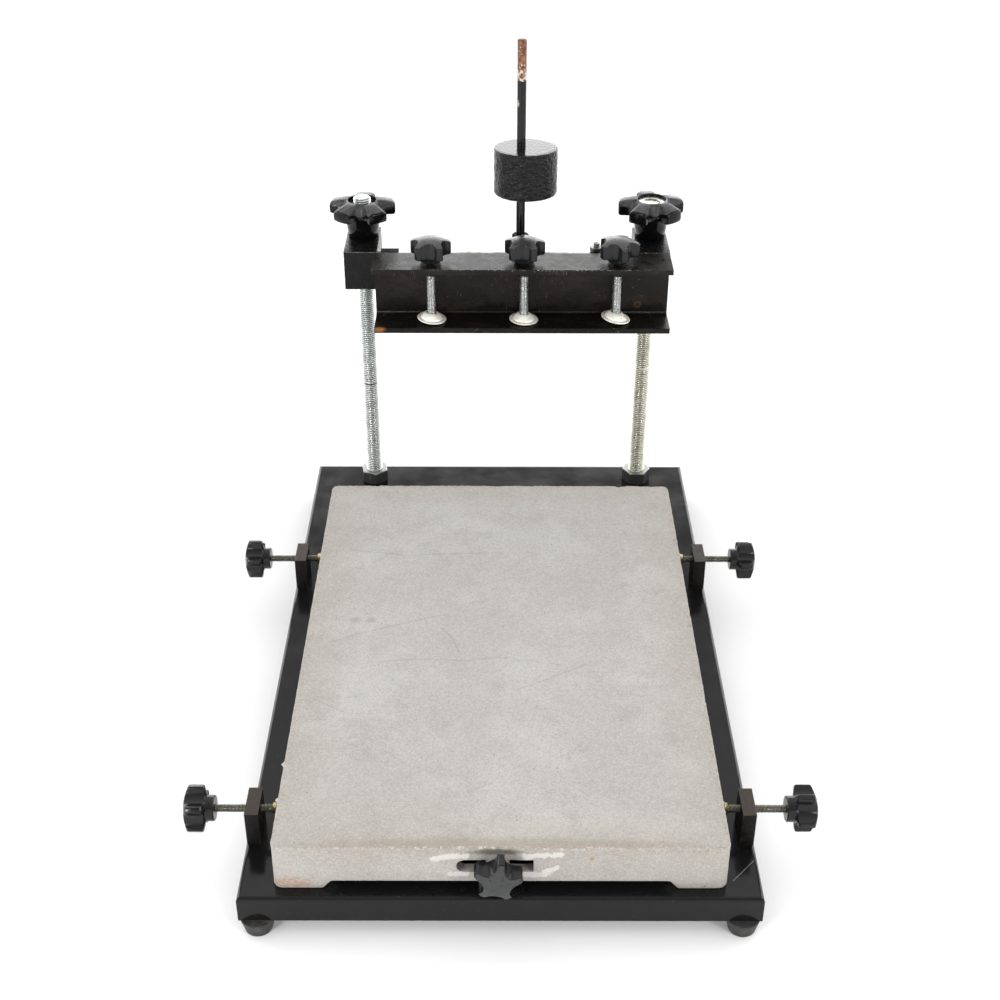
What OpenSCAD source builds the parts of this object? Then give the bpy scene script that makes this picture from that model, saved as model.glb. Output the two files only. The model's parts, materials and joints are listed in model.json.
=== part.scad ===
// Manual screen printing press with a hinged clamp.
// A cast work table stands on a folded steel tray. Four side screws and a front screw shift it.
// Two threaded columns carry slide blocks and a hinged channel that clamps a screen frame.
// Origin: centre of the tray, on the surface that the feet stand on. +X right, +Y back, +Z up.

/* [Work table] */
// Width of the work table
platen_w = 320; // [240:1:400]
// Length of the work table
platen_l = 476; // [360:1:600]
// Height of the work table
platen_h = 39; // [36:0.5:50]
// Thickness of the table's side walls
platen_wall = 8; // [6:0.5:12]
// Thickness of the table's top
platen_top = 6.5; // [5:0.5:8]
// Radius of the table's upright edges
platen_r = 7; // [5:0.5:12]
// Length of each corner pad along a side
platen_pad = 34; // [25:1:60]
// Height of the relief between the corner pads
relief_h = 7; // [4:0.5:12]
// Run of the sloped ends of the relief
relief_slope = 8; // [2:0.5:14]
// Width of the slot in the front wall
slot_w = 54; // [40:1:80]
// Height of the slot in the front wall
slot_h = 11.5; // [10:0.5:14]
// Place of the slot's middle along the front wall
slot_x = -4; // [-20:0.5:20]

/* [Base tray] */
// Distance from the tray's front face to the table's front face
platen_setback = 10; // [6:0.5:25]
// Space behind the table for the columns
column_space = 102; // [80:1:160]
// Strip of tray outside each side lug
lug_edge = 1; // [1:0.5:20]
// Height of the tray's flanges
tray_h = 21.5; // [20:0.5:30]
// Thickness of the sheet
sheet_t = 2; // [1:0.5:2.5]
// Outer radius of the folds
fold_r = 3; // [3:0.5:6]
// Width of the strips that carry the feet, inside the front and rear flanges
strip_w = 20; // [16:1:40]
// Gap of the open seams at the corners
seam_gap = 0.8; // [0.4:0.1:2]

/* [Feet] */
// Height of the rubber feet
foot_h = 13; // [10:0.5:20]
// Diameter of a foot at its top
foot_top_d = 25.5; // [20:0.5:36]
// Diameter of a foot at its bottom
foot_bottom_d = 20; // [16:0.5:30]
// Distance from a foot's centre to the tray's side face
foot_in_x = 13; // [10:0.5:30]
// Distance from a foot's centre to the tray's front or rear face
foot_in_y = 6.4; // [6.4:0.1:18]
// Diameter of the foot screws
foot_screw_d = 4; // [3:0.5:4.5]
// Depth of the hole that hides the screw's head
foot_sink = 8; // [5:0.5:9]

/* [Side adjusters] */
// Space between the table's side and a lug
lug_gap = 14; // [11:0.5:25]
// Thickness of the welded lugs
lug_t = 10; // [6:0.5:16]
// Length of a lug along the tray
lug_l = 28; // [20:0.5:40]
// Height of the side lugs
lug_h = 30; // [28:0.5:34]
// Place of the rear lugs
rear_lug_y = 92; // [60:1:120]
// Place of the front lugs
front_lug_y = -228; // [-240:1:-150]
// Height of the side screws above the tray
side_screw_z = 23; // [18:0.5:24]
// Diameter of the side screws
side_screw_d = 6; // [5:0.5:8]
// Bare length of a side screw between the lug and its knob
side_screw_bare = 23; // [14:0.5:40]
// Diameter of the brass tips
tip_d = 12; // [10:0.5:16]
// Length of the brass tips
tip_l = 5; // [4:0.5:7]

/* [Front adjuster] */
// Place of the front screw along the front wall
feed_x = -2; // [-12:0.5:8]
// Height of the front screw above the tray
feed_z = 22; // [20:0.5:23]
// Diameter of the front screw
feed_screw_d = 8; // [6:0.5:9]
// Diameter of the washers on the front screw
washer_d = 18; // [16:0.5:26]
// Thickness of those washers
washer_t = 1.6; // [1:0.1:2.5]
// Room for travel between the lock nut and the threaded lug
feed_room = 12.5; // [8:0.5:30]
// Width of the threaded lug inside the table
feed_lug_w = 32; // [24:1:50]

/* [Knobs] */
// Diameter of the small star knobs
knob_d = 35; // [28:0.5:42]
// Thickness of a small knob's head
knob_head = 15; // [12:0.5:20]
// Diameter of a small knob's hub
knob_hub_d = 19; // [15:0.5:24]
// Length of a side knob's hub
side_knob_hub = 8; // [4:0.5:12]
// Length of a clamp knob's hub
clamp_knob_hub = 6; // [4:0.5:12]
// Length of the front knob's hub
front_knob_hub = 3; // [2:0.5:8]
// Depth of the hollows between a small knob's lobes
knob_hollow = 6; // [4:0.5:7]
// Share of a small knob's rim that the hollows take
knob_groove = 0.85; // [0.6:0.05:0.9]
// Number of lobes on every knob
knob_lobes = 5; // [4:1:7]
// Diameter of the large star knobs
lift_knob_d = 57; // [46:0.5:62]
// Thickness of a large knob's head
lift_knob_head = 13; // [10:0.5:18]
// Depth of the hollows between a large knob's lobes
lift_knob_hollow = 10; // [4:0.5:11]
// Share of a large knob's rim that the hollows take
lift_groove = 0.6; // [0.4:0.05:0.65]
// Length of a large knob's hub
lift_knob_hub = 21.5; // [14:0.5:30]
// Diameter of a large knob's hub at its foot
lift_hub_d = 27; // [25:0.5:34]
// Widening of that hub towards the head
lift_hub_flare = 4.5; // [0:0.5:6]
// Height of the rim round a large knob's insert
lift_rim_h = 3; // [2:0.5:6]
// Wall of that rim
lift_rim_wall = 3; // [2:0.5:4]

/* [Columns] */
// Distance between the columns
column_spacing = 263; // [200:1:300]
// Place of the middle between the columns
column_x = 5.4; // [0:0.1:10]
// Distance from the columns to the tray's rear face
column_in = 25; // [25:0.5:40]
// Thread diameter of the columns
column_d = 16; // [12:0.5:19.5]
// Height of the left column above the tray
left_column_h = 302; // [295:0.5:340]
// Height of the right column above the tray
right_column_h = 294; // [294:0.5:340]
// Turn of the left and right foot nuts
column_nut_turn = [40, 0]; // [0:1:60]

/* [Slide blocks] */
// Height of the blocks' top above the tray
carriage_h = 262.5; // [200:0.5:262.5]
// Width of a slide block
block_w = 30; // [26:0.5:36]
// Height of a slide block
block_h = 36; // [30:0.5:44]
// Length of a slide block in front of its column
block_fore = 42; // [36:0.5:52]
// Length of a slide block behind its column
block_aft = 18; // [15:0.5:26]
// Wall of the threaded bush in each block
bush_wall = 2; // [1.5:0.5:3]
// Length of bush that shows below a block
bush_peek = 2; // [1.5:0.5:4]

/* [Hinge] */
// Diameter of the hinge shaft
shaft_d = 12; // [10:0.5:14.5]
// Distance from the blocks' front face to the shaft's axis
shaft_in = 9; // [8:0.5:12]
// Distance from the blocks' top to the shaft's axis
shaft_down = 8.5; // [8:0.5:12]
// Wall of the hinge lugs round the shaft
eye_wall = 2; // [1.5:0.5:4]
// Width of a hinge lug
eye_w = 16; // [10:0.5:24]
// Gap between a hinge lug and the block beside it
eye_gap = 3; // [0.5:0.5:8]
// Diameter of the grub screws and of the stop screw
stop_screw_d = 6; // [4:0.5:6]
// Height of the stop screw's end above the shaft's axis
stop_screw_h = 18; // [14:0.5:24]
// Place of the stop screw
stop_x = 86; // [60:1:88]

/* [Clamp] */
// Length of the clamp channel
channel_l = 264; // [230:1:300]
// Place of the channel's middle
channel_x = 19; // [5:0.5:20]
// Height of the channel
channel_h = 61.2; // [55:0.1:74]
// Width of the channel's flanges
channel_w = 37; // [32:0.5:46]
// Thickness of the channel
channel_t = 4.8; // [4:0.1:6]
// Radius inside the channel's corners
channel_r = 2; // [1:0.5:4]
// Gap between the channel's web and the blocks
channel_gap = 4; // [4:0.5:8]
// Height of the channel's top above the blocks' top
channel_rise = 1.3; // [0:0.1:3]
// Diameter of the clamp screws
clamp_screw_d = 8; // [6:0.5:10]
// Distance between the clamp screws
clamp_pitch = 82.75; // [60:0.25:90]
// Place of the middle clamp screw
clamp_x = 20.7; // [10:0.1:22]
// Diameter of the swivel pads
pad_d = 26; // [22:0.5:30]
// Height of the swivel pads
pad_h = 9; // [7:0.5:12]
// Height of a swivel pad's rim
pad_rim_h = 1.5; // [1:0.5:3]
// Wall of a swivel pad's hub
pad_hub_wall = 2; // [1.5:0.5:3]
// Gap between the swivel pads and the radius in the channel's corner
pad_room = 0.2; // [0.2:0.1:3]
// Gap between a clamp knob's hub and the channel
clamp_knob_gap = 1.5; // [1:0.5:6]

/* [Counterweight] */
// Diameter of the counterweight's rod
rod_d = 8; // [6:0.5:10]
// Place of the rod
rod_x = 17.5; // [5:0.5:30]
// Lean of the rod to the back
rod_lean = 3; // [0:0.5:8]
// Length of the rod above the hinge shaft's axis
rod_l = 193.4; // [150:0.1:240]
// Diameter of the counterweight
weight_d = 56; // [40:0.5:64]
// Height of the counterweight
weight_h = 41; // [30:0.5:50]
// Height of the counterweight's middle above the hinge shaft's axis
weight_at = 81; // [80:0.5:150]
// Distance from the counterweight's middle to its bore
weight_offset = 4; // [0:0.5:8]
// Length of the counterweight's set screw
weight_screw_l = 16; // [10:0.5:20]
// Height of the rod's socket above the hinge shaft's axis
socket_h = 16; // [14:0.5:22]
// Wall of the rod's socket
socket_wall = 3; // [2:0.5:5]

/* [Clearances] */
// Radial clearance of shafts and screws in their bores
fit = 0.05; // [0.02:0.01:0.1]
// Gap between flat faces that slide or turn on each other
face_gap = 0.1; // [0.05:0.05:0.3]
// Radial clearance of screws in plain through holes
hole_gap = 0.4; // [0.2:0.1:0.8]
// Gap between the threaded lug and the table's underside
feed_lug_gap = 1.5; // [0.5:0.5:4]

/* [Hidden] */
$fn = 64;
cut = 1;
screw_chamfer = 0.5;
column_chamfer = 1.3;
shaft_chamfer = 1;
foot_chamfer = 1;
tip_chamfer = 0.6;
weight_chamfer = 1.5;
screw_tail = 1;

tray_w = platen_w + 2 * (lug_gap + lug_t + lug_edge);
tray_l = platen_setback + platen_l + column_space;
tray_top = foot_h + tray_h;
tray_under = tray_top - sheet_t;
foot_x = tray_w / 2 - foot_in_x;
foot_y = tray_l / 2 - foot_in_y;
platen_front = platen_setback - tray_l / 2;
platen_y = platen_front + platen_l / 2;

lug_in_x = platen_w / 2 + lug_gap;
side_z = tray_top + side_screw_z;
side_knob_x = lug_in_x + lug_t + side_screw_bare;
tip_socket = tip_l / 2;

feed_axis_z = tray_top + feed_z;
feed_knob_y = platen_front - 2 * face_gap - washer_t;
washer_in_y = platen_front + platen_wall + face_gap;
feed_nut_y = washer_in_y + washer_t + face_gap;
feed_lug_y = feed_nut_y + nut_h(feed_screw_d) + feed_room;
feed_tail = 7;

column_y = tray_l / 2 - column_in;
column_xs = [column_x - column_spacing / 2, column_x + column_spacing / 2];
column_hs = [left_column_h, right_column_h];
column_tail = 2;
bush_d = column_d + 2 * bush_wall;
collar_wall = 2;
collar_d = bush_d + 2 * collar_wall;
collar_h = 8;
recess_gap = 1;
recess_d = collar_d + 2 * recess_gap;
recess_h = 4;

block_top = tray_top + carriage_h;
block_bottom = block_top - block_h;
block_front = column_y - block_fore;
hinge_y = block_front + shaft_in;
hinge_z = block_top - shaft_down;
grub_l = 12;

channel_top = block_top + channel_rise;
channel_bottom = channel_top - channel_h;
web_back = block_front - channel_gap;
channel_front = web_back - channel_w;
clamp_y = web_back - channel_t - channel_r - pad_room - pad_d / 2;
clamp_xs = [clamp_x - clamp_pitch, clamp_x, clamp_x + clamp_pitch];
pad_floor = channel_bottom + channel_t + face_gap;
pad_socket = 5.5;
clamp_knob_z = channel_top + clamp_knob_gap;

SIDES = ["left", "right"];
CLAMPS = ["left", "middle", "right"];
CORNERS = [["left_front", -1, -1], ["right_front", 1, -1], ["left_rear", -1, 1], ["right_rear", 1, 1]];

// Across-flats width and height of a hex nut for a thread of diameter d
function nut_af(d) = d > 12 ? 1.5 * d : 1.5 * d + 1;
function nut_h(d) = 0.8 * d;
// Diameter and height of a round screw head for a thread of diameter d
function head_d(d) = 2 * d;
function head_h(d) = 0.65 * d;
// Width and depth of the hex socket in a headless screw of diameter d
function socket_d(d) = 0.55 * d;
function socket_depth(d) = 0.5 * d;
// Place of a side lug's middle along the tray, from its corner
function lug_y(corner) = corner[2] > 0 ? rear_lug_y : front_lug_y;

// Shapes that repeat

// Rectangle with round corners, centred
module round_rect(w, l, r) {
    square([w - 2 * r, l], center = true);
    square([w, l - 2 * r], center = true);
    for (x = [-1, 1], y = [-1, 1]) translate([x * (w / 2 - r), y * (l / 2 - r)]) circle(r);
}

// Section of a sheet box: flat foot, round shoulders
module fold_profile(w, h, r) {
    translate([-w / 2, 0]) square([w, h - r]);
    translate([r - w / 2, 0]) square([w - 2 * r, h]);
    for (x = [-1, 1]) translate([x * (w / 2 - r), h - r]) circle(r);
}

// Solid box whose four top edges are folds of radius r
module folded_box(w, l, h, r) {
    intersection() {
        rotate([90, 0, 0]) linear_extrude(l, center = true) fold_profile(w, h, r);
        rotate([90, 0, 90]) linear_extrude(w, center = true) fold_profile(l, h, r);
    }
}

// Plain rod along +Z with a chamfer at both ends
module rod(d, l, chamfer) {
    r = d / 2;
    rotate_extrude() polygon([
        [0, 0], [r - chamfer, 0], [r, chamfer], [r, l - chamfer], [r - chamfer, l], [0, l]
    ]);
}

// Tube along +Z
module tube(outer_d, inner_d, l) {
    difference() {
        cylinder(d = outer_d, h = l);
        translate([0, 0, -cut]) cylinder(d = inner_d, h = l + 2 * cut);
    }
}

// Hex nut along +Z for a thread of diameter d, with turned corners
module hex_nut(d) {
    h = nut_h(d);
    r = nut_af(d) / 2;
    corner_r = r / cos(30);
    slope = (corner_r - r) * tan(30);
    difference() {
        intersection() {
            cylinder(r = corner_r, h = h, $fn = 6);
            rotate_extrude() polygon([
                [0, 0], [r, 0], [corner_r, slope], [corner_r, h - slope], [r, h], [0, h]
            ]);
        }
        translate([0, 0, -cut]) cylinder(d = d + 2 * fit, h = h + 2 * cut);
    }
}

// Headless screw along +Z with a hex socket in its foot
module grub_screw(d, l) {
    difference() {
        rod(d, l, screw_chamfer);
        translate([0, 0, -cut]) cylinder(d = socket_d(d), h = cut + socket_depth(d), $fn = 6);
    }
}

// Radius of the round hollow that reaches the core radius and meets the rim at half angle a
function hollow_r(rim, core, a) =
    (core * core + rim * rim - 2 * core * rim * cos(a)) / (2 * (rim * cos(a) - core));

// Outline of a star knob: a disc with round hollows, which take a share of the rim
module star(d, hollow, share) {
    core = d / 2 - hollow;
    r = hollow_r(d / 2, core, share * 180 / knob_lobes);
    difference() {
        circle(d = d);
        for (i = [1 : knob_lobes])
            rotate(90 + (i + 0.5) * 360 / knob_lobes) translate([core + r, 0]) circle(r);
    }
}

// Depth of a screw's seat in a small knob
function knob_seat(hub) = hub + knob_head / 2;

// Small star knob along +Z: hub below, domed head above, blind bore for its screw
module small_knob(hub, screw_d) {
    difference() {
        union() {
            cylinder(d = knob_hub_d, h = hub + cut);
            intersection() {
                translate([0, 0, hub]) linear_extrude(knob_head) star(knob_d, knob_hollow, knob_groove);
                translate([0, 0, hub + knob_head - knob_d]) sphere(knob_d);
            }
        }
        translate([0, 0, -cut]) cylinder(d = screw_d + 2 * fit, h = cut + knob_seat(hub));
    }
}

// Hinge lug: an eye round the shaft on a flat block that meets the channel's web
module hinge_lug(x, w) {
    eye_r = shaft_d / 2 + eye_wall;
    translate([x - w / 2, hinge_y, hinge_z]) rotate([90, 0, 90]) difference() {
        linear_extrude(w) union() {
            circle(eye_r);
            translate([web_back - hinge_y, -eye_r]) square([hinge_y - web_back, 2 * eye_r]);
        }
        translate([0, 0, -cut]) cylinder(d = shaft_d + 2 * fit, h = w + 2 * cut);
    }
}

// Frame of the counterweight's rod: +Z along the rod, from the hinge shaft's axis
module on_rod() {
    translate([rod_x, hinge_y, hinge_z]) rotate([-rod_lean, 0, 0]) children();
}

// Frame of a side screw: +Z from the table outwards, origin on the table's side
module on_side(corner) {
    translate([corner[1] * platen_w / 2, lug_y(corner), side_z]) rotate([0, corner[1] * 90, 0]) children();
}

// Frame of the front screw: +Z to the front, origin at the height of the screw
module on_feed(y) {
    translate([feed_x, y, feed_axis_z]) rotate([90, 0, 0]) children();
}

// Base

module base_tray() {
    color("#1c1c1e") translate([0, 0, foot_h]) difference() {
        folded_box(tray_w, tray_l, tray_h, fold_r);
        translate([0, 0, -sheet_t])
            folded_box(tray_w - 2 * sheet_t, tray_l - 2 * sheet_t, tray_h, fold_r - sheet_t);
        for (c = CORNERS)
            translate([c[1] * (tray_w - sheet_t) / 2, c[2] * (tray_l / 2 - sheet_t - seam_gap / 2), -cut])
                linear_extrude(tray_h - fold_r + cut) square([sheet_t + 2 * cut, seam_gap], center = true);
        for (x = column_xs) translate([x, column_y, tray_h - sheet_t - cut])
            cylinder(d = column_d + 2 * hole_gap, h = sheet_t + 2 * cut);
    }
}

module foot_strips() {
    strip_l = tray_w - 2 * (sheet_t + seam_gap);
    strip_y = tray_l / 2 - sheet_t - strip_w / 2;
    color("#1c1c1e") difference() {
        for (s = [-1, 1]) translate([0, s * strip_y, foot_h + sheet_t / 2])
            cube([strip_l, strip_w, sheet_t], center = true);
        for (c = CORNERS) translate([c[1] * foot_x, c[2] * foot_y, foot_h - cut])
            cylinder(d = foot_screw_d + 2 * hole_gap, h = sheet_t + 2 * cut);
    }
}

module foot(corner) {
    color("#4a4a4a") translate([corner[1] * foot_x, corner[2] * foot_y, 0]) difference() {
        rotate_extrude() polygon([
            [0, 0], [foot_bottom_d / 2 - foot_chamfer, 0], [foot_bottom_d / 2, foot_chamfer],
            [foot_top_d / 2, foot_h], [0, foot_h]
        ]);
        translate([0, 0, -cut]) cylinder(d = head_d(foot_screw_d) + 2 * hole_gap, h = foot_sink + cut);
        cylinder(d = foot_screw_d + 2 * hole_gap, h = foot_h + cut);
    }
}

module foot_fixings() {
    head = head_h(foot_screw_d);
    shank_l = foot_h - foot_sink + sheet_t + nut_h(foot_screw_d) + screw_tail;
    color("silver") for (c = CORNERS) translate([c[1] * foot_x, c[2] * foot_y, 0]) {
        translate([0, 0, foot_sink]) cylinder(d = foot_screw_d, h = shank_l);
        translate([0, 0, foot_sink - head]) cylinder(d = head_d(foot_screw_d), h = head);
        translate([0, 0, foot_h + sheet_t]) hex_nut(foot_screw_d);
    }
}

module side_lug(corner) {
    color("#242220") on_side(corner) translate([0, 0, lug_gap]) difference() {
        translate([-corner[1] * (lug_h / 2 - side_screw_z), 0, lug_t / 2])
            cube([lug_h, lug_l, lug_t], center = true);
        translate([0, 0, -cut]) cylinder(d = side_screw_d + 2 * fit, h = lug_t + 2 * cut);
    }
}

module feed_lug() {
    lug_top = platen_h - platen_top - feed_lug_gap;
    color("#242220") difference() {
        translate([feed_x - feed_lug_w / 2, feed_lug_y, tray_top]) cube([feed_lug_w, lug_t, lug_top]);
        on_feed(feed_lug_y + lug_t + cut) cylinder(d = feed_screw_d + 2 * fit, h = lug_t + 2 * cut);
    }
}

module column_nuts() {
    color("#3a3a3a") for (i = [0, 1]) translate([column_xs[i], column_y, 0]) {
        translate([0, 0, tray_top]) rotate(column_nut_turn[i]) hex_nut(column_d);
        translate([0, 0, tray_under - nut_h(column_d)]) hex_nut(column_d);
    }
}

module column(i) {
    foot_z = tray_under - nut_h(column_d) - column_tail;
    color("#c4c8ca") translate([column_xs[i], column_y, foot_z])
        rod(column_d, tray_top + column_hs[i] - foot_z, column_chamfer);
}

// Work table and its adjusters

module relief(w) {
    polygon([
        [-w / 2, -cut], [-w / 2, 0], [relief_slope - w / 2, relief_h],
        [w / 2 - relief_slope, relief_h], [w / 2, 0], [w / 2, -cut]
    ]);
}

module platen() {
    inner_w = platen_w - 2 * platen_wall;
    inner_l = platen_l - 2 * platen_wall;
    color("#b4b0aa") translate([0, platen_y, tray_top]) difference() {
        linear_extrude(platen_h) round_rect(platen_w, platen_l, platen_r);
        translate([0, 0, -cut]) linear_extrude(platen_h - platen_top + cut)
            round_rect(inner_w, inner_l, platen_r);
        rotate([90, 0, 0]) linear_extrude(platen_l + 2 * cut, center = true)
            relief(platen_w - 2 * platen_pad);
        rotate([90, 0, 90]) linear_extrude(platen_w + 2 * cut, center = true)
            relief(platen_l - 2 * platen_pad);
        translate([slot_x, platen_wall - platen_l / 2 + cut, feed_z]) rotate([90, 0, 0])
            linear_extrude(platen_wall + 2 * cut) {
                translate([(slot_h - slot_w) / 2, 0]) circle(d = slot_h);
                translate([(slot_h - slot_w) / 2, -slot_h / 2]) square([slot_w - slot_h / 2, slot_h]);
            }
    }
}

module side_tip(corner) {
    color("#a08448") on_side(corner) translate([0, 0, face_gap]) difference() {
        rod(tip_d, tip_l, tip_chamfer);
        translate([0, 0, tip_l - tip_socket]) cylinder(d = side_screw_d + 2 * fit, h = tip_socket + cut);
    }
}

module side_screw(corner) {
    tip_z = 2 * face_gap + tip_l - tip_socket;
    end_z = side_knob_x - platen_w / 2 + knob_seat(side_knob_hub) - face_gap;
    color("#b9b7a8") on_side(corner) translate([0, 0, tip_z])
        rod(side_screw_d, end_z - tip_z, screw_chamfer);
}

module side_knob(corner) {
    color("#202226") on_side(corner) translate([0, 0, side_knob_x - platen_w / 2])
        small_knob(side_knob_hub, side_screw_d);
}

module front_screw() {
    back_y = feed_lug_y + lug_t + feed_tail;
    color("#b9b7a8") on_feed(back_y)
        rod(feed_screw_d, back_y - feed_knob_y + knob_seat(front_knob_hub) - face_gap, screw_chamfer);
}

module front_knob() {
    color("#26282c") on_feed(feed_knob_y) small_knob(front_knob_hub, feed_screw_d);
}

module feed_washers() {
    color("silver") for (y = [platen_front - face_gap, washer_in_y + washer_t])
        on_feed(y) tube(washer_d, feed_screw_d + 2 * hole_gap, washer_t);
}

module feed_nut() {
    color("silver") on_feed(feed_nut_y + nut_h(feed_screw_d)) hex_nut(feed_screw_d);
}

// Slide blocks and their lift knobs

module slide_block(i) {
    color("#1d1d1d") difference() {
        translate([column_xs[i] - block_w / 2, block_front, block_bottom])
            cube([block_w, block_fore + block_aft, block_h]);
        translate([column_xs[i], column_y, block_bottom - cut])
            cylinder(d = bush_d + 2 * fit, h = block_h + 2 * cut);
        translate([column_xs[i] - block_w / 2 - cut, hinge_y, hinge_z]) rotate([0, 90, 0])
            cylinder(d = shaft_d + 2 * fit, h = block_w + 2 * cut);
        translate([column_xs[i], hinge_y, block_bottom - cut])
            cylinder(d = stop_screw_d + 2 * fit, h = hinge_z - block_bottom + cut);
    }
}

module lift_nut(i) {
    bush_top = block_top + face_gap + lift_knob_hub + lift_knob_head + lift_rim_h - recess_h;
    lip_z = block_bottom - face_gap - bush_peek;
    color("#c9ccce") translate([column_xs[i], column_y, 0]) difference() {
        union() {
            translate([0, 0, lip_z]) cylinder(d = bush_d, h = bush_top - lip_z);
            translate([0, 0, lip_z]) cylinder(d = bush_d + bush_wall, h = bush_peek);
            translate([0, 0, bush_top - collar_h]) cylinder(d = collar_d, h = collar_h);
        }
        translate([0, 0, lip_z - cut]) cylinder(d = column_d + 2 * fit, h = bush_top - lip_z + 2 * cut);
    }
}

module lift_knob(i) {
    top = lift_knob_hub + lift_knob_head + lift_rim_h;
    color("#17181a") translate([column_xs[i], column_y, block_top + face_gap]) difference() {
        union() {
            cylinder(d1 = lift_hub_d, d2 = lift_hub_d + lift_hub_flare, h = lift_knob_hub + cut);
            translate([0, 0, lift_knob_hub]) linear_extrude(lift_knob_head)
                star(lift_knob_d, lift_knob_hollow, lift_groove);
            translate([0, 0, lift_knob_hub])
                cylinder(d = recess_d + 2 * lift_rim_wall, h = lift_knob_head + lift_rim_h);
        }
        translate([0, 0, -cut]) cylinder(d = bush_d + 2 * fit, h = top + 2 * cut);
        translate([0, 0, top - recess_h - collar_h - fit])
            cylinder(d = collar_d + 2 * fit, h = collar_h + recess_h + cut);
        translate([0, 0, top - recess_h]) cylinder(d = recess_d, h = recess_h + cut);
    }
}

// Hinge

module side_hinge_lug(i) {
    inwards = i == 0 ? 1 : -1;
    color("#1d1d1d") hinge_lug(column_xs[i] + inwards * (block_w / 2 + eye_gap + eye_w / 2), eye_w);
}

module hinge_shaft() {
    start = column_xs[0] - block_w / 2;
    color("#b8babb") difference() {
        translate([start, hinge_y, hinge_z]) rotate([0, 90, 0])
            rod(shaft_d, column_spacing + block_w, shaft_chamfer);
        translate([stop_x, hinge_y, hinge_z - stop_screw_d / 2])
            cylinder(d = stop_screw_d + 2 * fit, h = shaft_d);
    }
}

module shaft_grub_screws() {
    color("#2a2a2a") for (x = column_xs)
        translate([x, hinge_y, hinge_z - shaft_d / 2 - face_gap - grub_l]) grub_screw(stop_screw_d, grub_l);
}

module stop_screw() {
    foot = face_gap - stop_screw_d / 2;
    color("#8f908e") translate([stop_x, hinge_y, hinge_z + foot])
        rod(stop_screw_d, stop_screw_h - foot, screw_chamfer);
}

module stop_nut() {
    color("#262626") translate([stop_x, hinge_y, hinge_z + shaft_d / 2 + face_gap]) hex_nut(stop_screw_d);
}

// Clamp

module clamp_channel() {
    inner_h = channel_h - 2 * channel_t;
    color("#2a2623") difference() {
        translate([channel_x - channel_l / 2, channel_front, channel_bottom]) rotate([90, 0, 90])
            linear_extrude(channel_l) difference() {
                square([channel_w, channel_h]);
                translate([-cut, channel_t]) square([channel_w - channel_t - channel_r + cut, inner_h]);
                translate([channel_w - channel_t - channel_r - cut, channel_t + channel_r])
                    square([channel_r + cut, inner_h - 2 * channel_r]);
                for (z = [channel_t + channel_r, channel_h - channel_t - channel_r])
                    translate([channel_w - channel_t - channel_r, z]) circle(channel_r);
            }
        for (x = clamp_xs) translate([x, clamp_y, channel_top - channel_t - cut])
            cylinder(d = clamp_screw_d + 2 * hole_gap, h = channel_t + 2 * cut);
    }
}

module clamp_nuts() {
    color("#2a2623") for (x = clamp_xs)
        translate([x, clamp_y, channel_top - channel_t - nut_h(clamp_screw_d)]) hex_nut(clamp_screw_d);
}

module clamp_screw(i) {
    start = pad_floor + pad_h - pad_socket + face_gap;
    color("#c4c8ca") translate([clamp_xs[i], clamp_y, start])
        rod(clamp_screw_d, clamp_knob_z + knob_seat(clamp_knob_hub) - face_gap - start, screw_chamfer);
}

module clamp_knob(i) {
    color("#202226") translate([clamp_xs[i], clamp_y, clamp_knob_z])
        small_knob(clamp_knob_hub, clamp_screw_d);
}

module clamp_pad(i) {
    hub_r = clamp_screw_d / 2 + fit + pad_hub_wall;
    dish_h = pad_h / 2;
    neck = pad_hub_wall / 2;
    color("#b7b39f") translate([clamp_xs[i], clamp_y, pad_floor]) difference() {
        rotate_extrude() polygon([
            [0, 0], [pad_d / 2, 0], [pad_d / 2, pad_rim_h], [hub_r + 2 * neck, dish_h],
            [hub_r, dish_h + neck], [hub_r, pad_h], [0, pad_h]
        ]);
        translate([0, 0, pad_h - pad_socket]) cylinder(d = clamp_screw_d + 2 * fit, h = pad_socket + cut);
    }
}

// Counterweight

module rod_lug() {
    color("#1d1d1d") difference() {
        union() {
            hinge_lug(rod_x, eye_w);
            on_rod() cylinder(d = rod_d + 2 * socket_wall, h = socket_h);
        }
        on_rod() translate([0, 0, shaft_d / 2 + fit]) cylinder(d = rod_d + 2 * fit, h = socket_h);
        translate([rod_x - eye_w, hinge_y, hinge_z]) rotate([0, 90, 0])
            cylinder(d = shaft_d + 2 * fit, h = 2 * eye_w);
    }
}

module rod_nut() {
    color("#1d1d1d") on_rod() translate([0, 0, socket_h + face_gap]) hex_nut(rod_d);
}

module counterweight_rod() {
    start = shaft_d / 2 + screw_tail;
    color("#1a1a1a") on_rod() translate([0, 0, start]) rod(rod_d, rod_l - start, screw_chamfer);
}

module counterweight() {
    color("#151515") on_rod() translate([0, 0, weight_at - weight_h / 2]) difference() {
        translate([weight_offset, 0, 0]) rod(weight_d, weight_h, weight_chamfer);
        translate([0, 0, -cut]) cylinder(d = rod_d + 2 * fit, h = weight_h + 2 * cut);
        translate([0, 0, weight_h / 2]) rotate([-90, 0, 0])
            cylinder(d = stop_screw_d + 2 * fit, h = weight_d);
    }
}

module weight_screw() {
    end_y = rod_d / 2 + face_gap + weight_screw_l;
    color("#2a2a2a") on_rod() translate([0, end_y, weight_at]) rotate([90, 0, 0])
        grub_screw(stop_screw_d, weight_screw_l);
}

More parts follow.
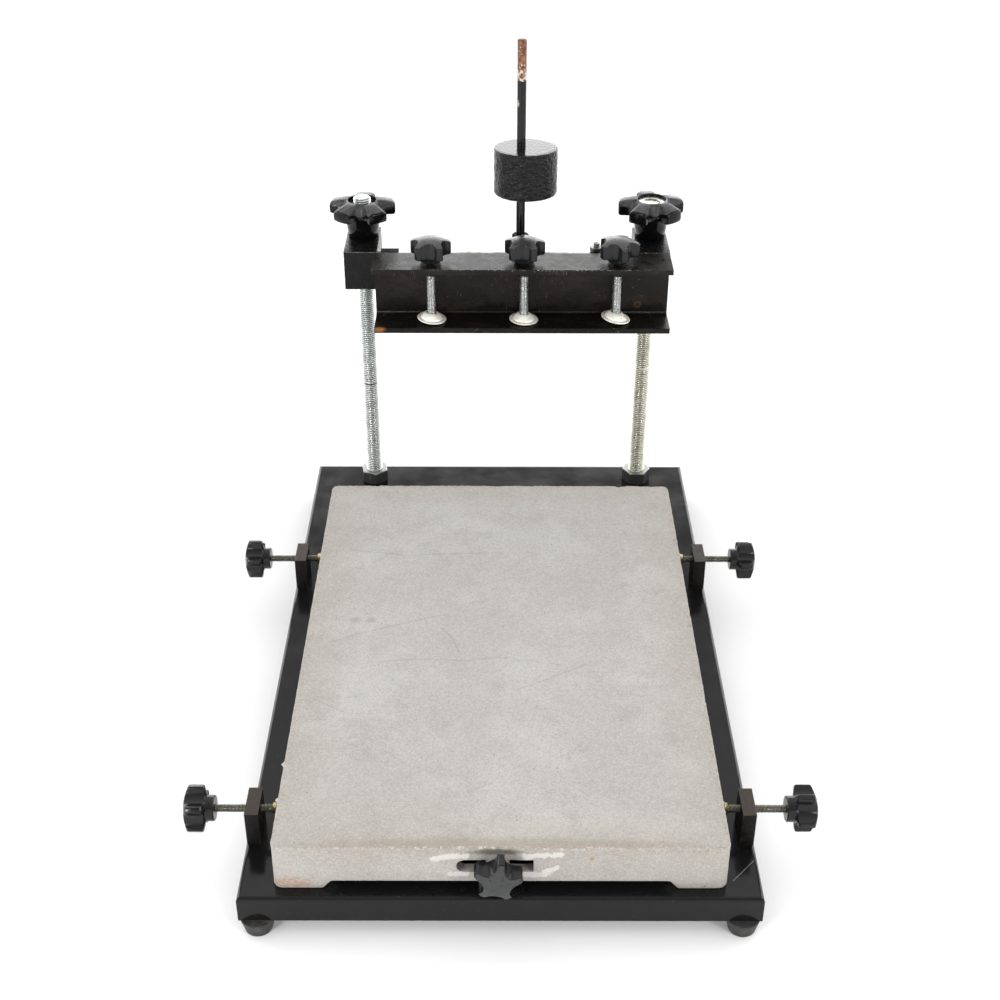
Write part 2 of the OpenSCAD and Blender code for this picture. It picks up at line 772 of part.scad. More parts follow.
base_tray();
foot_strips();
foot_fixings();
feed_lug();
column_nuts();
platen();
for (c = CORNERS) {
    foot(c);
    side_lug(c);
    side_tip(c);
    side_screw(c);
    side_knob(c);
}
front_screw();
front_knob();
feed_washers();
feed_nut();
for (i = [0, 1]) {
    column(i);
    slide_block(i);
    lift_nut(i);
    lift_knob(i);
    side_hinge_lug(i);
}
hinge_shaft();
shaft_grub_screws();
stop_screw();
stop_nut();
clamp_channel();
clamp_nuts();
for (i = [0 : 2]) {
    clamp_screw(i);
    clamp_knob(i);
    clamp_pad(i);
}
rod_lug();
rod_nut();
counterweight_rod();
counterweight();
weight_screw();
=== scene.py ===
import json
import math

import bpy
import numpy as np
from mathutils import Matrix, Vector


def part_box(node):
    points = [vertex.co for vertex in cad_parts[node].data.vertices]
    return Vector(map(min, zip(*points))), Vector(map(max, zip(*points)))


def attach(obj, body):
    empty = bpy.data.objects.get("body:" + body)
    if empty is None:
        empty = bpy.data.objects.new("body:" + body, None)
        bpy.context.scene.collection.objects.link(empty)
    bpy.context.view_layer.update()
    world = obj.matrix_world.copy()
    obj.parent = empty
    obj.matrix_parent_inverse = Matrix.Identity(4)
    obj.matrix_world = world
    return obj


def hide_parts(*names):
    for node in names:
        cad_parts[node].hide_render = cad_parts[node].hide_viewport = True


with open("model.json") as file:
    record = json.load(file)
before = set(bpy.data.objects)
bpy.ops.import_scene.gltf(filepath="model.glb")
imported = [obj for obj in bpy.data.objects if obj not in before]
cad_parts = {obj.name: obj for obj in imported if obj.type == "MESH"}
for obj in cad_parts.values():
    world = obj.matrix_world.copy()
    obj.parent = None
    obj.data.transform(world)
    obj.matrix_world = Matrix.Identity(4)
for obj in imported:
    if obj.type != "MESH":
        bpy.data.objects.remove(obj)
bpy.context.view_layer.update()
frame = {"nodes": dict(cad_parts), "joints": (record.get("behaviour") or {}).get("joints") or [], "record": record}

# Stage: a white floor that fills the view, under a tent of soft light that is bright low down at the back
# and overhead, with a darker band between. The camera stands where the press was photographed from.
MM = 0.001
CAMERA_PLACE = (-3.05, -1040.3, 836.1)
CAMERA_PITCH = 32.30
CAMERA_YAW = 0.136
CAMERA_ROLL = 0.189
CAMERA_LENS = 54.63
FLOOR_REACH = 9.0
FLOOR_WHITE = (0.92, 0.92, 0.92, 1)
FLOOR_ROUGH = 0.9
FLOOR_SHINE = 0.1
SKY_BANDS = [(0.00, 4.0), (0.41, 3.9), (0.50, 0.62), (0.58, 0.66), (0.70, 1.6), (1.00, 1.6)]
SKY_FRONT = 0.35
SOFT_BOXES = [((-900, -1300, 700), 250, 8), ((1000, -1200, 900), 250, 6),
              ((-800, -700, 250), 110, 0.7), ((850, -650, 250), 110, 0.6)]


def aim_camera():
    """Axes from the three angles: forward from yaw and pitch, then right and up turned by the roll."""
    pitch, yaw, roll = np.radians([CAMERA_PITCH, CAMERA_YAW, CAMERA_ROLL])
    forward = np.array([math.sin(yaw) * math.cos(pitch), math.cos(yaw) * math.cos(pitch), -math.sin(pitch)])
    right = np.array([math.cos(yaw), -math.sin(yaw), 0.0])
    up = np.cross(right, forward)
    turned_right = math.cos(roll) * right + math.sin(roll) * up
    turned_up = math.cos(roll) * up - math.sin(roll) * right
    camera = bpy.data.objects.new("camera", bpy.data.cameras.new("camera"))
    camera.data.lens = CAMERA_LENS
    camera.data.clip_end = 100
    axes = np.eye(4)
    axes[:3, :3] = np.stack([turned_right, turned_up, -forward], axis=1)
    axes[:3, 3] = np.array(CAMERA_PLACE) * MM
    camera.matrix_world = Matrix(axes.tolist())
    bpy.context.scene.collection.objects.link(camera)
    bpy.context.scene.camera = camera


def wire(node, sockets):
    """Sets or links each of a node's sockets, by name or number."""
    for key, value in sockets.items():
        if isinstance(value, bpy.types.NodeSocket):
            node.id_data.links.new(value, node.inputs[key])
        else:
            node.inputs[key].default_value = value


def put(kind, sockets, **settings):
    """Adds a node to the tree that its linked sockets are in, sets its options and wires it."""
    tree = next(value.id_data for value in sockets.values() if isinstance(value, bpy.types.NodeSocket))
    node = tree.nodes.new(kind)
    for key, value in settings.items():
        setattr(node, key, value)
    wire(node, sockets)
    return node


def light_the_tent():
    """World brightness from the height above the horizon, less to the front, and soft boxes in front."""
    world = bpy.data.worlds.new("light_tent")
    world.use_nodes = True
    tree = world.node_tree
    aim = put("ShaderNodeSeparateXYZ", {0: tree.nodes.new("ShaderNodeTexCoord").outputs["Generated"]})
    ramp = put("ShaderNodeValToRGB", {0: aim.outputs["Z"]})
    back = put("ShaderNodeMapRange", {0: aim.outputs["Y"], 1: -0.6, 2: 0.6, 3: SKY_FRONT, 4: 1.0})
    shaded = put("ShaderNodeMix", {0: back.outputs[0], 6: (0, 0, 0, 1), 7: ramp.outputs[0]},
                 data_type="RGBA")
    strongest = max(strength for _, strength in SKY_BANDS)
    while len(ramp.color_ramp.elements) < len(SKY_BANDS):
        ramp.color_ramp.elements.new(0.5)
    for element, (place, strength) in zip(ramp.color_ramp.elements, SKY_BANDS):
        element.position = place
        element.color = (strength / strongest,) * 3 + (1,)
    wire(tree.nodes["Background"], {"Color": shaded.outputs[2], "Strength": strongest})
    bpy.context.scene.world = world
    for number, (place, side, power) in enumerate(SOFT_BOXES):
        light = bpy.data.objects.new(f"soft_box_{number}", bpy.data.lights.new(f"soft_box_{number}", "AREA"))
        light.data.size = side * MM
        light.data.energy = power
        light.location = np.array(place) * MM
        aim = -light.location.normalized()
        light.rotation_euler = aim.to_track_quat("-Z", "Y").to_euler()
        light.visible_camera = False
        bpy.context.scene.collection.objects.link(light)


def lay_floor():
    """A square at the height of the feet, in matt white."""
    corners = np.array([[-1, -1, 0], [1, -1, 0], [1, 1, 0], [-1, 1, 0]]) * FLOOR_REACH
    mesh = bpy.data.meshes.new("floor")
    mesh.from_pydata(corners.tolist(), [], [[0, 1, 2, 3]])
    floor = bpy.data.objects.new("floor", mesh)
    bpy.context.scene.collection.objects.link(floor)
    material = bpy.data.materials.new("floor_white")
    material.use_nodes = True
    wire(material.node_tree.nodes["Principled BSDF"],
         {"Base Color": FLOOR_WHITE, "Roughness": FLOOR_ROUGH, "Specular IOR Level": FLOOR_SHINE})
    mesh.materials.append(material)


aim_camera()
light_the_tent()
lay_floor()
bpy.context.scene.view_settings.view_transform = "Standard"

# Base tray: a sheet of steel folded down on four sides, with open seams at the corners. Two strips welded
# inside the front and rear flanges carry the feet. Gloss black enamel, worn brown on the folds, covers both.
ENAMEL_BLACK = (0.007, 0.007, 0.0075, 1)
ENAMEL_DUST = (0.050, 0.048, 0.045, 1)
WORN_BROWN = (0.075, 0.048, 0.030, 1)
ENAMEL_SCRATCHED = (0.30, 0.29, 0.27, 1)
ENAMEL_ROUGH = (0.10, 0.24)
ENAMEL_SHINE = 0.22
ENAMEL_SCRATCH = [(165, -276, 34.5), (182, -257, 34.5)]
BLACK_SHINE = 0.2


def new_finish(name):
    """A new material and the object's own coordinates in it."""
    material = bpy.data.materials.new(name)
    material.use_nodes = True
    return material, material.node_tree.nodes.new("ShaderNodeTexCoord").outputs["Object"]


def cloud(place, size, detail=4.0, rough=0.55, twist=0.0):
    """Noise whose blotches are about size mm across; 0 to 1, near 0.5."""
    sockets = {"Vector": place, "Scale": 1 / (size * MM), "Detail": detail, "Roughness": rough,
               "Distortion": twist}
    return put("ShaderNodeTexNoise", sockets).outputs[0]


def grains(place, size):
    """Distance to the nearest of points that lie about size mm apart; 0 at a point."""
    return put("ShaderNodeTexVoronoi", {"Vector": place, "Scale": 1 / (size * MM)}).outputs["Distance"]


def between(value, low, high, out_low=0.0, out_high=1.0):
    """Value stretched from the range low to high onto the range out_low to out_high, and held there."""
    sockets = {0: value, 1: low, 2: high, 3: out_low, 4: out_high}
    return put("ShaderNodeMapRange", sockets, interpolation_type="SMOOTHSTEP").outputs[0]


def sums(operation, a, b=0.0):
    """One arithmetic step on two values."""
    return put("ShaderNodeMath", {0: a, 1: b}, operation=operation).outputs[0]


def times(a, b):
    """The product of two values."""
    return sums("MULTIPLY", a, b)


def tint(share, colour_a, colour_b, strength=1.0):
    """Colour a where share is 0; where it is 1, as much of colour b as the strength says."""
    sockets = {0: share if strength == 1 else times(share, strength), 6: colour_a, 7: colour_b}
    return put("ShaderNodeMix", sockets, data_type="RGBA").outputs[2]


def coat(material, colour, rough, height, depth, shine=0.5, metal=0.0):
    """Wires a material's shader. The height, over depth mm, gives its normal. Returns the material."""
    bump = put("ShaderNodeBump", {"Height": height, "Distance": depth * MM, "Strength": 1.0})
    wire(material.node_tree.nodes["Principled BSDF"],
         {"Base Color": colour, "Roughness": rough, "Normal": bump.outputs[0],
          "Specular IOR Level": shine, "Metallic": metal})
    return material


def vector(operation, *inputs, result=0):
    """One step on vectors, or on a vector and a value."""
    return put("ShaderNodeVectorMath", dict(enumerate(inputs)), operation=operation).outputs[result]


def from_edges(place, low, high):
    """Distance in metres to the nearest edge of a box: the second smallest of its three face distances."""
    low, high = np.array(low), np.array(high)
    away = vector("ABSOLUTE", vector("SUBTRACT", place, ((low + high) / 2).tolist()))
    inside = vector("SUBTRACT", ((high - low) / 2).tolist(), away)
    x, y, z = put("ShaderNodeSeparateXYZ", {0: inside}).outputs
    return sums("MAXIMUM", sums("MINIMUM", x, y), sums("MINIMUM", sums("MAXIMUM", x, y), z))


def worn_edges(place, low, high, reach):
    """1 on a box's edges, fading over reach mm, broken up by noise."""
    gap = from_edges(place, low, high)
    ragged = sums("ADD", gap, times(cloud(place, 4), reach * MM * 1.6))
    return between(ragged, 0.55 * reach * MM, 1.5 * reach * MM, 1.0, 0.0)


def drawn_line(place, path, width):
    """1 on a line through points in mm, 0 beyond width mm of it: the distance to each stretch is that to
    the nearest point on it, and a little noise breaks the line up."""
    gap = times(sums("SUBTRACT", cloud(place, 5, 4), 0.5), 2.4 * width * MM)
    nearest = None
    for start, end in zip(np.array(path[:-1]) * MM, np.array(path[1:]) * MM):
        run = end - start
        off = vector("SUBTRACT", place, start.tolist())
        share = vector("DOT_PRODUCT", off, (run / (run @ run)).tolist(), result="Value")
        held = put("ShaderNodeClamp", {0: share}).outputs[0]
        foot = put("ShaderNodeVectorMath", {0: run.tolist(), "Scale": held}, operation="SCALE").outputs[0]
        away = vector("DISTANCE", off, foot, result="Value")
        nearest = away if nearest is None else sums("MINIMUM", nearest, away)
    return between(sums("ADD", nearest, gap), 0.4 * width * MM, width * MM, 1.0, 0.0)


def tray_enamel():
    """Gloss black with orange peel, dust in the clouds of its gloss, brown folds and one scratch."""
    material, place = new_finish("tray_enamel")
    low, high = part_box("base_tray")
    dust = between(cloud(place, 45, 6, 0.65), 0.52, 0.80)
    specks = between(grains(place, 7), 0.05, 0.10, 1.0, 0.0)
    colour = tint(dust, ENAMEL_BLACK, ENAMEL_DUST, 0.12)
    colour = tint(specks, colour, ENAMEL_DUST, 0.4)
    colour = tint(worn_edges(place, low, high, 0.7), colour, WORN_BROWN)
    colour = tint(drawn_line(place, ENAMEL_SCRATCH, 0.5), colour, ENAMEL_SCRATCHED, 0.4)
    rough = between(cloud(place, 30, 5), 0.3, 0.75, *ENAMEL_ROUGH)
    swell = times(cloud(place, 60, 2), 2.0)
    waves = sums("ADD", cloud(place, 9, 2), swell)
    return coat(material, colour, rough, waves, 0.10, shine=ENAMEL_SHINE)


def dress(material, *nodes):
    """Gives CAD nodes this material."""
    for name in nodes:
        slots = frame["nodes"][name].data.materials
        slots.clear()
        slots.append(material)


dress(tray_enamel(), "base_tray", "foot_strips")

# Feet: four tapered rubber buffers, moulded with a soft edge and a deep hole that hides the head of
# the screw. Screw and nut fix each one under the tray's strips.
FOOT_TOP_R = 12.75
FOOT_BOTTOM_R = 10.0
FOOT_H = 13.0
FOOT_HEAD_HOLE_R = 4.4
FOOT_SCREW_HOLE_R = 2.4
FOOT_SINK = 8.0
RUBBER_GREY = (0.016, 0.016, 0.016, 1)
RUBBER_DUST = (0.07, 0.062, 0.05, 1)
BODY_OF = {node: body for body, nodes in frame["record"]["behaviour"]["bodies"].items() for node in nodes}
CORNERS = {"left_front": (-1, -1), "right_front": (1, -1), "left_rear": (-1, 1), "right_rear": (1, 1)}


def turned(rows, columns):
    """Grid round the Z axis: each row is a radius and a height, as numbers or as one value per column."""
    angle = np.linspace(0, 2 * np.pi, columns, endpoint=False)
    radius = np.array([np.broadcast_to(r, columns) for r, _ in rows])
    height = np.array([np.broadcast_to(h, columns) for _, h in rows])
    return np.stack([radius * np.cos(angle), radius * np.sin(angle), height], axis=-1)


def skin(points, ring=False):
    """Faces of a grid: rows along the piece, columns round it. Columns meet, and so do the rows of a
    ring; otherwise the first and last rows are filled."""
    rows, columns = points.shape[:2]
    index = np.arange(rows * columns).reshape(rows, columns)
    here = index if ring else index[:-1]
    there = np.roll(index, -1, axis=0) if ring else index[1:]
    quads = np.stack([here, np.roll(here, -1, axis=1), np.roll(there, -1, axis=1), there], axis=-1)
    faces = quads.reshape(-1, 4).tolist()
    if not ring:
        faces += [index[0][::-1].tolist(), index[-1].tolist()]
    return faces


def extent(node):
    """Lowest and highest corner of a CAD node, in mm."""
    return np.array([list(corner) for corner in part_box(node)]) / MM


def axis_of(node):
    """Point of a CAD node's upright middle line at height 0, in mm."""
    return extent(node).mean(axis=0) * [1, 1, 0]


def stand_in(node, form, points, material, crease=35, marks=None, ring=False, faces=None):
    """A mesh that takes a CAD node's place and body, with the given material, and is named after it and its form.
    It comes from a grid of points in mm, or from points and faces. marks is an attribute."""
    name = f"{node}_{form}"
    mesh = bpy.data.meshes.new(name)
    mesh.from_pydata((np.reshape(points, (-1, 3)) * MM).tolist(), [], faces or skin(points, ring))
    mesh.shade_smooth()
    mesh.set_sharp_from_angle(angle=math.radians(crease))
    if marks is not None:
        mesh.attributes.new("marks", "FLOAT", "POINT").data.foreach_set("value", np.ravel(marks))
    mesh.materials.append(material)
    made = bpy.data.objects.new(name, mesh)
    bpy.context.scene.collection.objects.link(made)
    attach(made, BODY_OF[node])
    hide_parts(node)


def foot_rubber():
    """Matt dark grey with pale dust and a fine moulded grain."""
    material, place = new_finish("foot_rubber")
    dust = between(cloud(place, 6, 6, 0.7), 0.48, 0.72)
    return coat(material, tint(dust, RUBBER_GREY, RUBBER_DUST),
                between(cloud(place, 3), 0.3, 0.7, 0.55, 0.75), cloud(place, 0.8, 3), 0.08)


def foot_profile():
    """Down the head's hole, out under the foot, up the outside with round edges and in over the top."""
    return [(FOOT_SCREW_HOLE_R, FOOT_SINK), (FOOT_HEAD_HOLE_R - 0.4, FOOT_SINK),
            (FOOT_HEAD_HOLE_R, FOOT_SINK - 0.4), (FOOT_HEAD_HOLE_R, 0.4), (FOOT_HEAD_HOLE_R + 0.3, 0.0),
            (FOOT_BOTTOM_R - 1.2, 0.0), (FOOT_BOTTOM_R - 0.4, 0.3), (FOOT_BOTTOM_R, 1.0),
            (FOOT_TOP_R - 0.25, FOOT_H - 1.6), (FOOT_TOP_R, FOOT_H - 0.8),
            (FOOT_TOP_R - 0.2, FOOT_H - 0.2), (FOOT_TOP_R - 0.8, FOOT_H), (FOOT_SCREW_HOLE_R, FOOT_H)]


rubber = foot_rubber()
for corner in CORNERS:
    node = corner + "_foot"
    stand_in(node, "rubber", turned(foot_profile(), 48) + axis_of(node), rubber, ring=True)

# Side lugs and feed lug: blocks of flat bar sawn to length and welded on the tray, drilled and tapped
# for their screws. They are brushed with thin black paint that shows rust and bare steel at the corners.
LUG_BLACK = (0.0035, 0.003, 0.003, 1)
LUG_RUST = (0.055, 0.028, 0.015, 1)
LUG_BARE = (0.10, 0.075, 0.055, 1)
LUG_TOP = (0.040, 0.030, 0.022, 1)
LUG_ROUNDING = 0.7


def round_off(node, width):
    """Joins a CAD node's triangles, dissolves its flat faces and rounds its sharp edges."""
    made = frame["nodes"][node]
    made.modifiers.new("join", "WELD").merge_threshold = 1e-6
    flat = made.modifiers.new("flat", "DECIMATE")
    flat.decimate_type = "DISSOLVE"
    flat.angle_limit = math.radians(1)
    edges = made.modifiers.new("edges", "BEVEL")
    edges.width = width * MM
    edges.segments = 2
    edges.limit_method = "ANGLE"
    edges.angle_limit = math.radians(40)
    edges.harden_normals = True


def height_of(place):
    """The upright coordinate alone."""
    return put("ShaderNodeSeparateXYZ", {0: place}).outputs["Z"]


def brushed_paint(node):
    """Brown black paint for a box: rust specks, brush marks, a dusty top and bare corners."""
    material, place = new_finish("brushed_paint_" + node)
    rust = between(cloud(place, 5, 6, 0.7), 0.52, 0.70)
    specks = between(grains(place, 2.2), 0.10, 0.22, 1.0, 0.0)
    colour = tint(rust, LUG_BLACK, LUG_RUST, 0.25)
    top = between(height_of(place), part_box(node)[1][2] - 0.5 * MM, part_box(node)[1][2], 0.0, 0.8)
    colour = tint(top, colour, LUG_TOP)
    colour = tint(specks, colour, LUG_RUST, 0.35)
    colour = tint(worn_edges(place, *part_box(node), 0.45), colour, LUG_BARE)
    return coat(material, colour, between(cloud(place, 3, 5), 0.3, 0.7, 0.32, 0.62), cloud(place, 1.6, 4),
                0.20, shine=BLACK_SHINE)


for node in [corner + "_lug" for corner in CORNERS] + ["feed_lug"]:
    round_off(node, LUG_ROUNDING)
    dress(brushed_paint(node), node)

# Columns: two lengths of rolled, zinc plated M16 rod, held by a hex nut above and below the tray.
# The left one has a ring nicked into it, and the right one a crushed thread, where something gripped them.
COLUMN_PITCH = 2.0
COLUMN_SIDES = 28
COLUMN_NICK = 145.0
COLUMN_BURR = 162.0
COLUMN_ENDS = {"left": (2.7, 2.6), "right": (-1.0, 1.0)}
ZINC_PALE = (0.90, 0.92, 0.91, 1)
ZINC_DULL = (0.68, 0.70, 0.68, 1)
# This and the other root colours are painted shade for the thread roots.
ZINC_ROOT_SHADE = (0.11, 0.115, 0.11, 1)
YELLOWED_PALE = (0.86, 0.86, 0.76, 1)
YELLOWED_DULL = (0.64, 0.64, 0.53, 1)
YELLOWED_ROOT_SHADE = (0.13, 0.13, 0.10, 1)
THREAD_DEPTH = 0.613
ROWS_PER_PITCH = 8


def threaded(diameter, pitch, low, high, sides, chamfer=1.0):
    """Rod along Z whose radius dips by the thread depth in a wave: its phase is the height over the
    pitch less the angle over a turn. Both ends run out in a round chamfer. Returns points and the wave."""
    height = np.linspace(low, high, round((high - low) / pitch * ROWS_PER_PITCH) + 1)
    angle = np.linspace(0, 2 * np.pi, sides, endpoint=False)
    phase = height[:, None] / pitch - angle / (2 * np.pi)
    wave = np.clip(0.5 - 0.62 * np.cos(2 * np.pi * phase), 0, 1)
    room = np.clip(np.minimum(height - low, high - height) / chamfer, 0, 1)[:, None]
    crown = diameter / 2 - chamfer * (1 - np.sqrt(1 - (1 - room) ** 2))
    radius = np.minimum(diameter / 2 - THREAD_DEPTH * pitch * wave, crown)
    return turned(list(zip(radius, height)), sides), wave


def marked(material):
    """The mesh's own marks attribute, in the material's tree."""
    node = material.node_tree.nodes.new("ShaderNodeAttribute")
    node.attribute_name = "marks"
    return node.outputs["Fac"]


def plated(name, pale, dull, root, rough=(0.22, 0.42), metal=1.0):
    """Plated steel: bright with duller clouds, with painted shade where the marks attribute says thread root."""
    material, place = new_finish(name)
    marks = marked(material)
    dulled = between(cloud(place, 9, 5, 0.6), 0.42, 0.70)
    colour = tint(dulled, pale, dull)
    # Painted shade in the thread roots, as much as the marks attribute says.
    colour = tint(marks, colour, root, 0.95)
    return coat(material, colour, between(cloud(place, 4, 4), 0.3, 0.7, *rough), cloud(place, 0.7, 3), 0.03,
                metal=metal)


zinc = plated("zinc_plate", ZINC_PALE, ZINC_DULL, ZINC_ROOT_SHADE)
yellowed = plated("yellowed_zinc", YELLOWED_PALE, YELLOWED_DULL, YELLOWED_ROOT_SHADE)
for side in ("left", "right"):
    low, high = extent(side + "_column")
    short, chamfer = COLUMN_ENDS[side]
    shape, wave = threaded(high[0] - low[0], COLUMN_PITCH, low[2], high[2] - short, COLUMN_SIDES, chamfer)
    angle = np.arctan2(shape[..., 1], shape[..., 0])
    # The wave carries the roots' painted shade: the nick takes it in full, the crushed patch at 0.7.
    if side == "left":
        bite = np.exp(-((shape[..., 2] - COLUMN_NICK) / 0.9) ** 2)
        shape[..., :2] *= (1 - 0.14 * bite)[..., None]
        wave = np.maximum(wave, bite)
    else:
        bite = np.exp(-((shape[..., 2] - COLUMN_BURR) / 1.6) ** 2 - ((angle + 1.2) / 0.5) ** 2)
        crest = (high[0] - low[0]) / 2 / np.linalg.norm(shape[..., :2], axis=-1)
        shape[..., :2] *= (1 + (crest - 1) * bite)[..., None]
        wave = np.maximum(wave * (1 - bite), 0.7 * bite)
    plate = zinc if side == "left" else yellowed
    stand_in(side + "_column", "rod", shape + axis_of(side + "_column"), plate, 80, wave)

# Foot nuts of the columns: plain hex nuts of blackened steel, with a painted highlight along their top chamfers
# and a few rubbed bright patches. The feet's screws and nuts are ordinary zinc plated ones.
NUT_BLACK = (0.024, 0.025, 0.024, 1)
NUT_BARE_AND_HIGHLIGHT = (0.46, 0.47, 0.45, 1)
NUT_CHAMFER = 1.5
NUT_ROUNDING = 0.35


def blackened(node, height, reach):
    """Blackened steel, rubbed bright in patches, with a painted highlight for a reach below the given height, in
    mm.
    """
    material, place = new_finish("blackened_" + node)
    # The band below the top height is a painted highlight on the chamfer; the cloud patches are rubbed wear.
    below = sums("SUBTRACT", height * MM, height_of(place))
    ragged = sums("ADD", below, times(cloud(place, 2.5), 0.8 * MM))
    bare = between(ragged, 0.3 * reach * MM, (reach + 0.6) * MM, 0.8, 0.0)
    worn = sums("MAXIMUM", bare, between(cloud(place, 4, 5, 0.7), 0.60, 0.78, 0.0, 0.7))
    return coat(material, tint(worn, NUT_BLACK, NUT_BARE_AND_HIGHLIGHT),
                between(cloud(place, 3, 4), 0.3, 0.7, 0.28, 0.45), cloud(place, 1.2, 3), 0.05,
                metal=between(worn, 0.0, 1.0, 0.0, 1.0))


round_off("column_nuts", NUT_ROUNDING)
dress(blackened("column_nuts", extent("column_nuts")[1][2], NUT_CHAMFER), "column_nuts")
dress(zinc, "foot_fixings")

# Work table: a hollow casting that stands on four corner pads, with relief between them, a slot in its
# front wall and rounded, chipped edges. The casting is left rough; its top is scratched and stained.
TABLE_UPRIGHT_R = 7.0
TABLE_WALL = 8.0
TABLE_TOP = 6.5
TABLE_PAD = 34.0
TABLE_RELIEF = 7.0
TABLE_SLOPE = 8.0
TABLE_SLOT_X = (-31.0, 23.0)
TABLE_SLOT_Z = (50.75, 62.25)
SLOT_LEVELS = 9
SLOT_BEND = 14.0
LEVELS_UNDER_SLOT = (44.5, 47.5)
LEVELS_OVER_SLOT = (65.0, 67.5)
TABLE_BURRS = (-199.0, -236.0)
CAST_SHINE = 0.25
CAST_GREY = (0.368, 0.354, 0.330, 1)
CAST_PALE = (0.425, 0.414, 0.394, 1)
CAST_DARK = (0.245, 0.238, 0.226, 1)
CAST_PIT = (0.05, 0.047, 0.042, 1)
CAST_SCRATCH = (0.17, 0.175, 0.18, 1)
CAST_SCUFF = (0.56, 0.55, 0.53, 1)
CAST_FLAKE = (0.74, 0.73, 0.70, 1)
CAST_BROWN = (0.25, 0.195, 0.135, 1)
CAST_RUST = (0.40, 0.19, 0.08, 1)
TABLE_LINES = [[(-133, 82), (-83, 74), (-30, 77), (2, 79)], [(-138, -52), (-118, -41), (-53, -16)],
               [(-48, -33), (-38, -49), (-33, -68)], [(-145, -125), (-117, -142)], [(13, -113), (69, -81)],
               [(-105, -78), (-61, -74), (-27, -76), (0, -72), (21, -76), (49, -81)]]
SLOT_SCUFFS = [[(-46, 63.4), (-24, 66.5)], [(-34, 48.8), (-24, 49.4)], [(18, 66.2), (40, 67.4)],
               [(17, 48.6), (30, 48.4), (39, 55)]]
TABLE_SPOTS = [(-121, -22, 6, CAST_SCRATCH), (-108, -22, 6, CAST_SCRATCH), (-94, 126, 2.5, CAST_BROWN),
               (141, -88, 3, CAST_RUST), (158, -29, 2.5, CAST_PIT)]


def ripple(seed, points, size, waves=14):
    """Sum of sine waves about size mm long, whose directions and phases come from a seed; mostly -1 to 1."""
    random = np.random.default_rng(seed)
    directions = random.normal(size=(waves, points.shape[-1]))
    directions /= np.linalg.norm(directions, axis=1)[:, None] * size * random.uniform(0.6, 1.6, (waves, 1))
    turns = points @ directions.T + random.uniform(0, 1, waves)
    return np.sin(2 * np.pi * turns).sum(axis=-1) / math.sqrt(waves)


def table_outline(half):
    """Columns round a rectangle with round corners, anticlockwise from the front left: the corner
    centres' rectangle, and the directions from it outwards. The slot's ends fall on columns."""
    w, l = half - TABLE_UPRIGHT_R
    arc = np.radians(np.arange(0, 90, 15))
    front = np.concatenate([np.linspace(-w, TABLE_SLOT_X[0], 90, endpoint=False),
                            np.linspace(*TABLE_SLOT_X, 36, endpoint=False),
                            np.linspace(TABLE_SLOT_X[1], w, 96, endpoint=False)])
    side = np.linspace(-l, l, 320, endpoint=False)
    back = np.linspace(w, -w, 200, endpoint=False)
    runs = [(front, np.full(front.shape, -l), -90), (np.full(side.shape, w), side, 0),
            (back, np.full(back.shape, l), 90), (np.full(side.shape, -w), -side, 180)]
    ends = [(w, -l), (w, l), (-w, l), (-w, -l)]
    core, aim = [], []
    for (x, y, facing), (end_x, end_y) in zip(runs, ends):
        core += [np.stack([x, y], axis=-1), np.tile([end_x, end_y], (len(arc), 1))]
        turn = math.radians(facing)
        aim += [np.full(x.shape, turn), turn + arc]
    aim = np.concatenate(aim)
    return np.concatenate(core), np.stack([np.cos(aim), np.sin(aim)], axis=-1)


